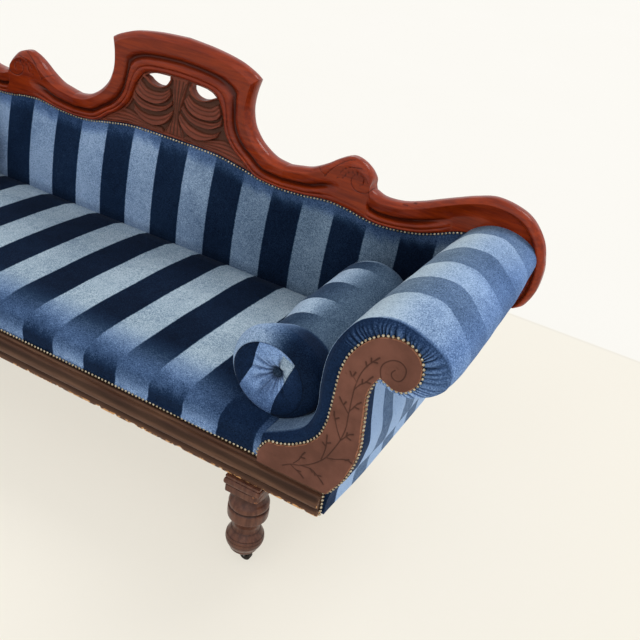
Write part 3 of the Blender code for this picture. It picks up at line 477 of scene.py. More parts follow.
def soft_lamp(name, toward, strength, width):
    """Light from far away in a direction; the wider it is, the softer its shadows."""
    data = bpy.data.lights.new(name, "SUN")
    data.energy, data.angle = strength, math.radians(width)
    lamp = bpy.data.objects.new(name, data)
    lamp.rotation_euler = Vector(toward).to_track_quat("Z", "Y").to_euler()
    bpy.context.scene.collection.objects.link(lamp)


make_floor()
room = bpy.data.worlds.new("room")
room.use_nodes = True
backdrop = room.node_tree.nodes["Background"]
backdrop.inputs["Color"].default_value = (0.98, 0.985, 1.0, 1.0)
# The room lights the settee with the first strength; where it is seen or mirrored, the second is added
lit_strength, seen_strength = 0.6, 0.35
seen = room.node_tree.nodes.new("ShaderNodeLightPath")
strength = lit_strength
for word in ("Is Camera Ray", "Is Glossy Ray", "Is Transmission Ray"):
    brighter = room.node_tree.nodes.new("ShaderNodeMath")
    brighter.operation = "MULTIPLY_ADD"
    room.node_tree.links.new(seen.outputs[word], brighter.inputs[0])
    brighter.inputs[1].default_value = seen_strength
    if isinstance(strength, float):
        brighter.inputs[2].default_value = strength
    else:
        room.node_tree.links.new(strength, brighter.inputs[2])
    strength = brighter.outputs[0]
room.node_tree.links.new(strength, backdrop.inputs["Strength"])
bpy.context.scene.world = room
soft_lamp("window", (0.35, 0.55, 0.9), 1.25, 30.0)
soft_lamp("room_light", (0.25, -0.8, 0.75), 0.5, 70.0)
print("floor and light ready")

# %% [markdown]
# Carving. A cut is a line drawn on the face of the board; every point near it sinks, in a soft V, and its
# "tone" drops, for the dirt and polish that gather there and for the painted shade in the cut. Distances come
# from a search tree over points spread along the lines, so the same function serves a rail, a panel or a plaque.
# %% Carved lines


def spread(lines, spacing=0.0006):
    """Points along smooth lines, no further apart than the spacing."""
    points = []
    for line in lines:
        line = smooth(line, 10) if len(line) > 2 else np.asarray(line, float)
        for a, b in zip(line[:-1], line[1:]):
            count = max(1, int(np.hypot(*(b - a)) / spacing))
            points += [a + (b - a) * k / count for k in range(count)]
        points.append(line[-1])
    return points


def nearness(points, marks):
    """Distance from each point to the nearest mark."""
    tree = kdtree.KDTree(len(marks))
    for k, mark in enumerate(marks):
        tree.insert((mark[0], mark[1], 0.0), k)
    tree.balance()
    return np.array([tree.find((x, z, 0.0))[2] for x, z in points])


def groove(distance, half_width):
    """How deep a soft V is, from 0 to 1."""
    return np.clip(1 - distance / half_width, 0, 1) ** 0.8


print("carving helpers ready")

# %% [markdown]
# The show rail runs from the middle of the crest down its shoulder, along the serpentine back to the scroll
# knob, and round the arm. It is one moulding that changes as it goes: a beaded inner edge, a deep groove and
# a broad outer band, then a flat for the carved knob, and only a ridge where the arm's roll lies against it.
# Rings are swept along the inner and outer edges; the outer edge is split where the real one has a mitre.
# %% Show rail tables
crest_shares = np.array([
    (0.0, 0.84, 0.0, 1.006), (0.049, 0.837, 0.082, 0.996), (0.088, 0.83, 0.154, 0.976),
    (0.112, 0.815, 0.199, 0.949), (0.125, 0.788, 0.222, 0.927), (0.134, 0.763, 0.215, 0.882),
    (0.143, 0.721, 0.211, 0.83), (0.15, 0.681, 0.213, 0.784), (0.164, 0.644, 0.224, 0.729),
    (0.184, 0.612, 0.247, 0.68), (0.21, 0.584, 0.274, 0.647), (0.256, 0.532, 0.301, 0.628),
    (0.329, 0.519, 0.335, 0.62)])
rail_shares = np.array([
    (0.329, 0.519, 0.335, 0.62), (0.385, 0.524, 0.367, 0.63), (0.415, 0.53, 0.401, 0.644),
    (0.44, 0.536, 0.438, 0.679), (0.469, 0.539, 0.461, 0.708), (0.495, 0.536, 0.485, 0.733),
    (0.518, 0.532, 0.504, 0.744), (0.535, 0.527, 0.526, 0.738), (0.551, 0.521, 0.546, 0.72),
    (0.565, 0.518, 0.562, 0.687), (0.572, 0.516, 0.564, 0.658), (0.58, 0.515, 0.568, 0.638),
    (0.606, 0.513, 0.597, 0.622), (0.656, 0.521, 0.643, 0.628), (0.706, 0.538, 0.689, 0.654),
    (0.751, 0.565, 0.73, 0.685), (0.776, 0.584, 0.765, 0.711), (0.807, 0.6, 0.808, 0.741),
    (0.832, 0.598, 0.853, 0.762), (0.852, 0.584, 0.905, 0.752), (0.863, 0.563, 0.945, 0.721),
    (0.869, 0.538, 0.979, 0.654), (0.871, 0.511, 0.995, 0.575), (0.871, 0.485, 0.998, 0.519),
    (0.871, 0.456, 0.994, 0.455), (0.874, 0.425, 0.980, 0.4), (0.884, 0.397, 0.966, 0.38)])
# Across the rail: share of its width, then how far it stands out on the plain rail, at the knob, over the
# arm and down the hook behind the arm, then the plain rail's tone there, dark in the grooves with dirt and painted
# shade
moulding = np.array([
    (0.0, 0.35, 0.35, 0.0, 0.0, 0.8), (0.03, 0.62, 0.6, 0.0, 0.0, 1.0), (0.075, 0.8, 0.76, 0.0, 0.0, 1.1),
    (0.12, 0.72, 0.78, 0.0, 0.0, 0.85), (0.14, 0.58, 0.8, 0.0, 0.0, 0.5), (0.165, 0.72, 0.82, 0.0, 0.0, 0.9),
    (0.22, 0.8, 0.84, 0.0, 0.0, 1.05), (0.265, 0.7, 0.85, 0.0, 0.0, 0.9), (0.31, 0.4, 0.86, 0.0, 0.0, 0.6),
    (0.345, 0.08, 0.87, 0.0, 0.0, 0.3), (0.385, -0.1, 0.88, 0.0, 0.0, 0.15), (0.42, 0.02, 0.89, 0.0, 0.0, 0.25),
    (0.455, 0.36, 0.9, 0.0, 0.0, 0.55), (0.51, 0.66, 0.9, 0.05, 0.0, 0.8), (0.6, 0.82, 0.91, 0.2, 0.0, 0.95),
    (0.72, 0.93, 0.92, 0.5, 0.0, 1.0), (0.82, 1.02, 0.98, 0.86, 0.1, 1.0), (0.86, 1.0, 1.02, 1.0, 0.5, 1.05),
    (0.88, 0.88, 0.92, 0.94, 0.9, 1.0), (0.92, 0.7, 0.74, 0.72, 0.95, 1.0), (0.965, 0.42, 0.42, 0.42, 0.6, 1.0),
    (1.0, 0.05, 0.05, 0.05, 0.05, 0.95)])
print("rail tables", crest_shares.shape, rail_shares.shape)

# %% [markdown]
# The knob's spiral and leaf strokes are cut into the rail itself, so the rail's rings are close enough
# together to hold them.
# %% Show rail sweep
spiral_cut = [(0.583, 0.700), (0.578, 0.684), (0.561, 0.6765), (0.5400, 0.6790), (0.5275, 0.6935),
              (0.5310, 0.7105), (0.5450, 0.7165), (0.5570, 0.7105), (0.5590, 0.6975), (0.5510, 0.6920)]
knob_lines = [
    spiral_cut, [(0.4945, 0.7065), (0.506, 0.7205), (0.525, 0.7290), (0.5475, 0.7315)],
    [(0.5070, 0.7030), (0.5140, 0.7125), (0.5290, 0.7190), (0.5420, 0.7205)],
    [(0.4890, 0.6925), (0.5030, 0.6960), (0.5115, 0.7060)],
    [(0.4262, 0.7045), (0.4462, 0.6955), (0.4600, 0.6885)],
    [(0.4560, 0.6870), (0.4780, 0.7160), (0.5060, 0.7385), (0.5235, 0.7455)],
    [(0.6660, 0.6800), (0.6790, 0.6820)], [(0.6900, 0.6900), (0.6990, 0.6915)],
]


def rail_rings(rows, keys, steps, corner, cuts=()):
    """Rings of the show rail and the tone of each point, before it leans."""
    inner = smooth(on_back(rows[:, :2]), steps)
    outer = np.vstack([smooth(on_back(rows[:corner + 1, 2:]), steps)[:-1],
                       smooth(on_back(rows[corner:, 2:]), steps)])
    fine = smooth(moulding, 3)
    weights = smooth(keys, steps)
    shares, stands, tones = fine[:, 0], fine[:, 1:5], fine[:, 5]
    proud = np.clip(weights, 0, 1) @ stands.T * show_proud
    face = inner[:, None, :] + (outer - inner)[:, None, :] * shares[None, :, None]
    plain = weights[:, :1]
    tone = 1.0 + (tones[None, :] - 1.0) * plain
    if len(cuts):
        near = nearness(face.reshape(-1, 2), spread(cuts)).reshape(proud.shape)
        # The knob's cuts sink and darken: dirt and painted shade in the cut
        cut = groove(near, 0.0017)
        proud, tone = proud - 0.0016 * cut, tone - 0.85 * cut
    backs = [outer, inner + (outer - inner) * 0.93, inner]
    depths = [post_thickness * 0.55, post_thickness, post_thickness]
    flat = np.concatenate([face] + [line[:, None, :] for line in backs], 1)
    count = len(flat)
    deep = np.concatenate([-proud] + [np.full((count, 1), depth) for depth in depths], 1)
    tone = np.concatenate([tone, np.full((count, 3), 0.9)], 1)
    return np.stack([flat[..., 0], deep + lean(flat[..., 1]), flat[..., 1]], -1), tone


def keyed(*runs):
    """A table of weights of the four mouldings, a run of rows at a time."""
    return np.array([row for row, count in runs for _ in range(count)], float)


def make_show_wood():
    plain, knob, over, hook = np.eye(4)
    rings, tone = rail_rings(crest_shares, keyed((plain, len(crest_shares))), 22, 4)
    left = rings[:0:-1] * (-1, 1, 1)
    made = tube("crest_rail_carved", np.concatenate([left, rings]), mahogany,
                tone=np.concatenate([tone[:0:-1], tone]).ravel())
    stands_for(made, "settee", "polished_show_wood", "crest_rail")
    keys = keyed((plain, 4), ((plain + knob) / 2, 1), (knob, 5), ((plain + knob) / 2, 1), (plain, 4),
                 ((plain + over) / 2, 1), (over, 3), ((over + hook) / 2, 1), (hook, 7))
    rings, tone = rail_rings(rail_shares, keys, 22, 11, knob_lines)
    rings[0, :, 0] += gap
    for word, side in sides.items():
        made = tube(f"back_rail_carved_{word}", rings * (side, 1, 1), mahogany, tone=tone.ravel())
        stands_for(made, "settee", "polished_show_wood", f"back_rail_{word}")


make_show_wood()

# %% [markdown]
# Flat boards with carving, such as the pierced crest panel and the two scroll plaques, are cut to an outline
# and filled with a close net of points. A triangulation joins them, a shape function lifts or sinks each
# point, and the same net reversed closes the back.
# %% Carved boards


def evenly(loop, spacing):
    """A closed loop's points, so far apart."""
    loop = np.asarray(loop, float)
    points = []
    for a, b in zip(loop, np.roll(loop, -1, 0)):
        count = max(1, round(np.hypot(*(b - a)) / spacing))
        points += [a + (b - a) * k / count for k in range(count)]
    return np.array(points)


def within(points, loops):
    """Which points lie inside the first loop and outside the others."""
    odd = np.zeros(len(points), bool)
    x, z = points.T
    for loop in loops:
        for (x0, z0), (x1, z1) in zip(loop, np.roll(loop, -1, 0)):
            if z0 != z1:
                odd ^= ((z0 > z) != (z1 > z)) & (x < x0 + (z - z0) * (x1 - x0) / (z1 - z0))
    return odd


def board(name, loops, face, back, finish, spacing, shape):
    """A closed board in X and Z. face and back give Y; shape gives how far points rise, and their marks."""
    loops = [evenly(loop, spacing) for loop in loops]
    edge = np.vstack(loops)
    low, high = edge.min(0), edge.max(0)
    xs, zs = np.arange(low[0], high[0], spacing), np.arange(low[1], high[1], spacing * 0.87)
    grid = np.array([(x + spacing / 2 * (k % 2), z) for k, z in enumerate(zs) for x in xs])
    grid = grid[within(grid, loops)]
    grid = grid[nearness(grid, edge) > spacing * 0.6]
    starts = np.cumsum([0] + [len(loop) for loop in loops])
    ties = [(int(s + k), int(s + (k + 1) % n)) for s, n in zip(starts, np.diff(starts)) for k in range(n)]
    flat = [Vector(p) for p in np.vstack([edge, grid])]
    verts, _, faces, *_ = geometry.delaunay_2d_cdt(flat, ties, [], 0, 1e-7)
    flat = np.array([tuple(v) for v in verts])
    faces = np.array([face for face in faces if len(face) == 3])
    faces = faces[within(flat[faces].mean(1), loops)]
    rise, marks = shape(flat, nearness(flat, edge))
    count = len(flat)
    points = np.vstack([np.column_stack([flat[:, 0], face(flat) - rise, flat[:, 1]]),
                        np.column_stack([flat[:, 0], back(flat) + 0 * rise, flat[:, 1]])])
    ways = np.vstack([faces[:, [0, 1]], faces[:, [1, 2]], faces[:, [2, 0]]])
    there = {tuple(way) for way in ways.tolist()}
    rim = [way for way in there if way[::-1] not in there]
    walls = [(b, a, a + count, b + count) for a, b in rim]
    marks = {word: np.concatenate([values, values]) for word, values in marks.items()}
    shell = faces.tolist() + (faces[:, ::-1] + count).tolist() + walls
    return piece(name, points, shell, finish, **marks)


def edge_drop(distance, width=0.0016, depth=0.0009):
    """How far a board's face falls away at its edge."""
    return depth * np.clip(1 - distance / width, 0, 1) ** 2


print("board helper ready")

# %% [markdown]
# The crest panel fills the frame of the crest: a stem with three drooping lobes of reeds on either side, and
# two openings under the top. A lobe is the space between an upper and a lower line; its reeds are lines
# spaced evenly between those two.
# %% Crest panel
panel_foot_shares = [(0.0, 0.57), (0.083, 0.569), (0.145, 0.565), (0.2075, 0.548), (0.256, 0.532)]
piercing_shares = [
    (0.0352, 0.829), (0.0762, 0.825), (0.0985, 0.813), (0.112, 0.802), (0.1016, 0.795), (0.0879, 0.781),
    (0.0684, 0.7735), (0.0488, 0.781), (0.0365, 0.802)]
# Upper and lower line of each lobe, and its reeds
lobes = [
    ([(0.041, 0.664), (0.086, 0.664), (0.122, 0.675), (0.160, 0.682), (0.200, 0.672)],
     [(0.030, 0.652), (0.080, 0.650), (0.150, 0.648), (0.200, 0.640), (0.240, 0.634)], 4),
    ([(0.012, 0.716), (0.030, 0.701), (0.058, 0.689), (0.090, 0.685), (0.118, 0.689), (0.141, 0.703)],
     [(0.010, 0.704), (0.022, 0.684), (0.044, 0.668), (0.072, 0.662), (0.104, 0.668), (0.134, 0.684)], 2),
    ([(0.018, 0.740), (0.034, 0.724), (0.062, 0.715), (0.100, 0.715), (0.127, 0.723), (0.142, 0.738)],
     [(0.015, 0.728), (0.034, 0.711), (0.058, 0.700), (0.086, 0.697), (0.114, 0.700), (0.142, 0.716)], 2),
    ([(0.030, 0.768), (0.048, 0.755), (0.072, 0.750), (0.100, 0.752), (0.124, 0.768)],
     [(0.022, 0.750), (0.037, 0.731), (0.065, 0.719), (0.100, 0.719), (0.128, 0.729), (0.139, 0.745)], 3)]


def panel_shape(points, from_edge):
    half = np.column_stack([np.abs(points[:, 0] + 0.0045), points[:, 1]])
    rise = np.full(len(half), -0.0045)
    # The sunk ground starts dark: dirt and painted shade in the recess
    tone = np.full(len(half), 0.3)
    for upper, lower, reeds in lobes:
        upper, lower = smooth(upper, 8), smooth(lower, 8)
        upper = upper[np.linspace(0, len(upper) - 1, len(lower)).astype(int)]
        outline = np.vstack([upper, lower[::-1]])
        into = np.where(within(half, [outline]), 1, -1) * nearness(half, spread([outline]))
        above, below = nearness(half, spread([upper])), nearness(half, spread([lower]))
        down = above / (above + below + 1e-9)
        lines = [upper + (lower - upper) * k / reeds for k in range(1, reeds)]
        cut = groove(nearness(half, spread(lines)), 0.0030)
        swell = ease(-0.0006, 0.0022, into)
        rise += swell * (0.0005 + 0.0062 * down - rise) - swell * cut * 0.0026
        # Each lobe is darker along its top, a painted shadow of the lobe above, and darker in its reed cuts
        tone += swell * (1.0 - 0.6 * cut - 0.55 * ease(0.3, 0.0, down) - tone)
    stem_half = np.interp(half[:, 1], [0.645, 0.665, 0.69, 0.715, 0.745, 0.79, 0.81],
                          [0.036, 0.028, 0.013, 0.010, 0.017, 0.024, 0.034])
    stem = ease(0.002, -0.004, half[:, 0] - stem_half) * ease(0.648, 0.656, half[:, 1])
    rise += stem * (0.0038 - 0.10 * half[:, 0] - rise)
    tone += stem * (0.78 - tone)
    flutes = [[(0.0005, 0.795), (0.0005, 0.655)], [(0.012, 0.795), (0.005, 0.712), (0.010, 0.68), (0.012, 0.655)],
              [(0.020, 0.79), (0.009, 0.742), (0.009, 0.702), (0.019, 0.674), (0.026, 0.656)]]
    cut = groove(nearness(half, spread(flutes)), 0.0024)
    lip = ease(0.0062, 0.0040, nearness(half, on_back(spread([piercing_shares + piercing_shares[:1]], 0.001))))
    lip *= ease(0.795, 0.785, half[:, 1])
    rise += lip * (0.0045 - rise)
    tone += lip * (0.85 - tone)
    border = ease(0.006, 0.0035, from_edge) * (1 - lip)
    rise += border * (0.002 - rise) - 0.0022 * cut
    tone += border * (0.95 - tone) - 0.6 * cut
    rise = rise + 0.0004 * waver(points, 0.012) - edge_drop(from_edge)
    return rise, {"tone": np.clip(tone, 0.05, 1.1)}


def lower_edge():
    """The show-wood's lower edge along the nails, from the middle to the arm."""
    crest = smooth(crest_shares, 8)[:-1]
    meets = panel_foot_shares[-1][0]
    edge = [on_back(smooth(panel_foot_shares, 8)[:-1]), on_back(crest[crest[:, 0] >= meets][:, :2]),
            on_back(smooth(rail_shares, 8)[:, :2])]
    edge = np.vstack(edge)
    return edge[:np.argmax(edge[:, 0] > 0.805 * half_length)]


def make_crest_panel():
    rows = smooth(crest_shares, 8)
    side_edge = on_back(rows[rows[:, 0] <= panel_foot_shares[-1][0]][:, :2]) - gap
    foot = nail_edge[nail_edge[:, 0] < side_edge[-1, 0]]
    right = np.vstack([foot[1:], side_edge[::-1]])
    outline = np.vstack([right[:-1], right[::-1][:-1] * (-1, 1), foot[:1]])
    hole = on_back(smooth(piercing_shares + piercing_shares[:1], 4)[:-1])
    face_depth, back_depth = 0.003, 0.019
    made = board("crest_panel_carved", [outline, hole, hole * (-1, 1)], lambda p: lean(p[:, 1]) + face_depth,
                 lambda p: lean(p[:, 1]) + back_depth, panel_wood, 0.0014, panel_shape)
    stands_for(made, "settee", "polished_show_wood", "crest_panel")


nail_edge = lower_edge()
panel_wood = make_wood("carved_mahogany", tint(112, 56, 40), tint(140, 70, 50), tint(176, 96, 56), 0.42, 0.15,
                       dirt_and_shade_colour=tint(58, 42, 30))
make_crest_panel()

# %% [markdown]
# The arm seen from the front is the settee's signature: a swan-necked scroll. Its outline is a table of
# shares of the arm's width and height; towards the back the roll gets smaller about its neck.
# %% Arm tables
arm_outside_shares = [
    (0.0, 0.14), (0.12, 0.195), (0.235, 0.262), (0.29, 0.34), (0.314, 0.434), (0.308, 0.537),
    (0.317, 0.672), (0.354, 0.777), (0.423, 0.878), (0.494, 0.939), (0.595, 0.984), (0.7, 1.0),
    (0.814, 0.99), (0.92, 0.955), (1.005, 0.9), (1.03, 0.832), (1.01, 0.771), (0.955, 0.714),
    (0.886, 0.675), (0.816, 0.654), (0.75, 0.647), (0.678, 0.66), (0.606, 0.674)]
arm_inside_shares = [
    (0.606, 0.682), (0.65, 0.712), (0.725, 0.722), (0.8, 0.745), (0.845, 0.79), (0.845, 0.855),
    (0.79, 0.905), (0.7, 0.915), (0.61, 0.885), (0.54, 0.83), (0.495, 0.75), (0.465, 0.65),
    (0.458, 0.54), (0.455, 0.44), (0.448, 0.34), (0.415, 0.24), (0.365, 0.16), (0.315, 0.08)]
outer_line_shares = [
    (0.59, 0.655), (0.584, 0.583), (0.59, 0.503), (0.6, 0.41), (0.615, 0.304), (0.6, 0.229),
    (0.562, 0.123), (0.512, 0.05), (0.475, 0.0)]
plaque_inner_shares = [
    (0.006, 0.0), (0.006, 0.059), (0.058, 0.13), (0.124, 0.1455), (0.192, 0.166), (0.256, 0.197),
    (0.322, 0.24), (0.376, 0.3), (0.406, 0.38), (0.416, 0.464), (0.423, 0.572), (0.431, 0.662),
    (0.463, 0.757), (0.525, 0.838), (0.593, 0.887), (0.644, 0.907), (0.726, 0.917), (0.806, 0.893),
    (0.85, 0.848), (0.861, 0.785), (0.835, 0.73), (0.787, 0.694), (0.737, 0.687), (0.694, 0.7),
    (0.65, 0.715)]
plaque_outer_shares = [
    (0.65, 0.715), (0.612, 0.662), (0.594, 0.593), (0.601, 0.503), (0.608, 0.41), (0.614, 0.32),
    (0.6, 0.235), (0.563, 0.13), (0.512, 0.05), (0.475, 0.0)]
# How much the roll has shrunk at shares of the way to the back: its width, then its height
roll_falls = [(0.0, 0.0, 0.0), (0.3, 0.02, 0.03), (0.65, 0.065, 0.14), (1.0, 0.15, 0.26)]


def arm_point(shares, t=0.0):
    """X and Z of points of the arm's section, at a share of the way to the back."""
    shares = np.asarray(shares, float)
    anchor = np.array((0.42, 0.675))
    places, *falls = zip(*roll_falls)
    fall = np.array([np.interp(t, places, part) for part in falls])
    shares = np.where(shares > anchor, anchor + (shares - anchor) * (1 - fall), shares)
    return shares * (arm_width, arm_height) + (seat_end, frame_top)


print("arm top", arm_point([(0.7, 1.0)]))

# %% [markdown]
# The scroll plaque: a vine with leaves and the scroll's spiral are cut into a flat board whose edges are
# rubbed down to bare wood. The strokes are in millimetres from the seat's end and the frame's top.
# %% Scroll plaques
plaque_strokes = [
    [(222, 305), (218, 322), (222, 336), (235, 348), (250, 351), (262, 343), (264, 330), (259, 317), (250, 312),
     (241, 316), (239, 324), (244, 332)],
    [(60, 20), (77, 32), (99, 41), (123, 58), (145, 82), (159, 111), (170, 141), (176, 172), (176, 205), (177, 253),
     (179, 274), (183, 294), (189, 310), (197, 324), (206, 336)],
    [(179, 276), (173, 283), (168, 285)], [(177, 259), (186, 274), (196, 284), (202, 294)],
    [(176, 210), (183, 222), (189, 233)], [(176, 204), (166, 215), (158, 224)],
    [(170, 141), (160, 160), (152, 180), (149, 187)], [(139, 77), (143, 98), (144, 115), (143, 129)],
    [(150, 87), (166, 92), (183, 101), (195, 103)], [(169, 138), (178, 151), (185, 161)],
    [(83, 38), (93, 52), (99, 68)], [(99, 41), (121, 44), (134, 38), (146, 29)], [(77, 32), (89, 26), (102, 20)]]
# Where each leaf starts and which way it points
plaque_leaves = [
    (206, 336, 50), (199, 327, 100), (201, 330, 10), (192, 316, 110), (168, 285, 120), (171, 287, 70), (202, 294, 55),
    (196, 285, 5), (190, 278, 95), (189, 233, 45), (184, 224, 0), (158, 224, 125), (163, 219, 65), (149, 187, 100),
    (152, 181, 40), (143, 129, 95), (144, 120, 30), (143, 112, 140), (195, 103, -20), (187, 101, 35), (185, 161, 30),
    (180, 154, 85), (181, 153, -15), (99, 68, 60), (96, 60, 10), (146, 29, -45), (136, 36, 15), (128, 42, -60),
    (119, 44, -40), (102, 20, -40), (92, 25, 5)]


def leaf_strokes():
    """A short thick cut for each leaf."""
    turns = [math.radians(turn) for _, _, turn in plaque_leaves]
    return [[(x, z), (x + 9 * math.cos(turn), z + 9 * math.sin(turn))]
            for (x, z, _), turn in zip(plaque_leaves, turns)]


def make_plaques():
    inner, outer = (arm_point(smooth(rows, 6)) for rows in (plaque_inner_shares, plaque_outer_shares))
    outline = np.vstack([inner[:-1], outer])
    outline[0] = (seat_end + gap, frame_top + gap)
    outline[-1, 1] = frame_top + gap
    stems, leaves = ([[(seat_end + x / 1000, frame_top + z / 1000) for x, z in line] for line in lines]
                     for lines in (plaque_strokes, leaf_strokes()))

    def shape(points, from_edge):
        cut = groove(nearness(points, spread(stems)), 0.0021)
        cut = np.maximum(cut, groove(nearness(points, spread(leaves)), 0.0027))
        worn = ease(0.0017, 0.0004, from_edge) * ease(0.318, 0.322, points[:, 1])
        patch = waver(points, 0.05, 2.0)
        halo = ease(0.012, 0.002, nearness(points, spread(leaves)))
        # The cuts are darker, dirt and painted shade; the halo round the leaves is a stain, the patches lighter wood,
        # the edge rubbed bare
        tone = 1.0 - 0.8 * cut - 0.2 * halo * (1 - cut) + worn * 0.55 + ease(0.75, 1.0, patch) * 0.22
        rise = 0.0002 * patch - 0.0011 * cut - edge_drop(from_edge)
        return rise, {"tone": tone}

    for word, side in sides.items():
        made = board(f"scroll_plaque_carved_{word}", [outline], lambda p: front_y - plaque_proud,
                     lambda p: front_y - plaque_proud + plaque_thickness, plaque_wood, 0.0013, shape)
        if side < 0:
            flipped(made)
        stands_for(made, "settee", "worn_dark_wood", f"scroll_plaque_{word}")


make_plaques()

# %% [markdown]
# The front rail is a run of moulding: a fillet under the nails, a quirk, a broad roll and a hollow, and a foot
# whose lower edge is chipped down to orange wood. Sections every few millimetres let that edge wander.
# %% Front rail
# Out of the border, up from the rail's foot, and tone: painted shade down the face, a dark band on the roll's
# upper face and dark hollows under it, partly dirt, and tones over 1 at the foot for its chipped bare wood
rail_face = np.array([
    (0.15, 1.0, 0.4), (0.34, 1.0, 0.6), (0.385, 0.985, 0.9), (0.4, 0.95, 1.0), (0.385, 0.915, 1.0),
    (0.3, 0.895, 0.9), (0.18, 0.885, 0.75), (0.17, 0.86, 0.7), (0.24, 0.835, 0.9), (0.42, 0.82, 1.0),
    (0.6, 0.8, 1.0), (0.68, 0.785, 0.8), (0.8, 0.76, 0.42), (0.93, 0.69, 0.34), (0.99, 0.62, 0.5),
    (1.0, 0.55, 0.9), (0.98, 0.47, 1.0), (0.9, 0.4, 0.8), (0.74, 0.345, 0.3), (0.6, 0.325, 0.3),
    (0.5, 0.32, 0.2), (0.32, 0.305, 0.1), (0.31, 0.285, 0.1), (0.46, 0.262, 0.35), (0.52, 0.235, 0.5),
    (0.6, 0.2, 0.5), (0.65, 0.15, 0.85), (0.66, 0.1, 1.25), (0.64, 0.06, 1.42), (0.58, 0.02, 1.55),
    (0.42, 0.0, 1.4)])


def make_front_rail():
    rows = smooth(rail_face, 2)
    back_y = front_y + rail_thickness
    x = np.linspace(-frame_end, frame_end, 341)
    out, up, tone = (np.repeat(column[None, :], len(x), 0) for column in rows.T)
    low = ease(0.16, 0.0, up)
    run = np.column_stack([x, x * 0])
    chip = np.clip(waver(run, 0.03, 1.0) + 0.6 * waver(run, 0.011, 3.0) - 0.25, 0, 1)[:, None] * low
    end = ease(frame_end - 0.006, frame_end, np.abs(x))[:, None]
    out = out - 0.16 * chip - 0.05 * end
    up = up + 0.05 * chip
    tone = np.clip(tone + 0.35 * chip + 0.45 * end * ease(0.2, 0.9, out), 0, 1.9)
    y, z = front_y - out * rail_proud, frame_bottom + up * frame_height
    wide = len(x)
    rings = np.stack([np.repeat(x[:, None], rows.shape[0] + 2, 1),
                      np.column_stack([np.full(wide, back_y), y, np.full(wide, back_y)]),
                      np.column_stack([np.full(wide, frame_top), z, np.full(wide, frame_bottom)])], -1)
    tone = np.column_stack([np.ones(wide), tone, np.full(wide, 1.3)])
    made = tube("front_rail_moulded", rings, worn_wood, tone=tone.ravel())
    stands_for(made, "settee", "worn_dark_wood", "front_rail")


make_front_rail()

# %% [markdown]
# A leg is a moulded square block with a turned foot under it: drum, cove, ringed bulb. The block is a stack
# of rounded squares, the foot a profile turned about its axis, and one corner of each front block is broken
# away as the real one is.
# %% Legs
block_half, block_height, drum_radius = 0.044, 0.044, 0.043
block_top, block_bottom, foot_bottom = frame_bottom - gap, frame_bottom - gap - block_height, 0.0343
# Inset and drop below the top, for each square of the block
block_steps = [(0.0030, 0.0), (0.0022, 0.0010), (0.0022, 0.0045), (0.0050, 0.0055), (0.0042, 0.0072),
               (0.0016, 0.0085), (0.0002, 0.0115), (-0.0004, 0.0155), (0.0002, 0.0195), (0.0020, 0.0225),
               (0.0056, 0.0240), (0.0060, 0.0255), (0.0036, 0.0270), (0.0034, 0.0300), (0.0034, 0.0410),
               (0.0046, 0.0430), (0.0070, 0.0440)]
# Radius of the turned foot as a share of the drum's, share of its height, and tone
foot_rows = [
    (0.72, 1.0, 0.5), (0.73, 0.95, 0.5), (0.80, 0.905, 0.6), (0.88, 0.87, 0.8), (0.97, 0.845, 0.9),
    (1.03, 0.81, 1.05), (1.03, 0.775, 1.0), (0.975, 0.752, 0.5), (0.955, 0.74, 0.2), (1.03, 0.722, 0.9),
    (1.05, 0.7, 1.1), (1.045, 0.62, 1.0), (1.03, 0.585, 1.12), (0.985, 0.568, 0.9), (0.94, 0.558, 0.6),
    (0.85, 0.53, 0.9), (0.755, 0.487, 0.95), (0.69, 0.44, 1.0), (0.67, 0.395, 0.95), (0.70, 0.362, 0.8),
    (0.73, 0.352, 0.5), (0.80, 0.325, 0.9), (0.89, 0.285, 1.0), (0.925, 0.27, 0.9), (0.915, 0.26, 0.4),
    (0.965, 0.248, 1.0), (0.985, 0.225, 1.05), (0.97, 0.215, 0.4), (0.995, 0.2, 1.05), (0.985, 0.165, 1.05),
    (0.965, 0.157, 0.4), (0.965, 0.143, 0.95), (0.90, 0.1, 1.0), (0.80, 0.055, 0.95), (0.755, 0.04, 0.7),
    (0.75, 0.02, 0.9), (0.70, 0.0, 0.6)]


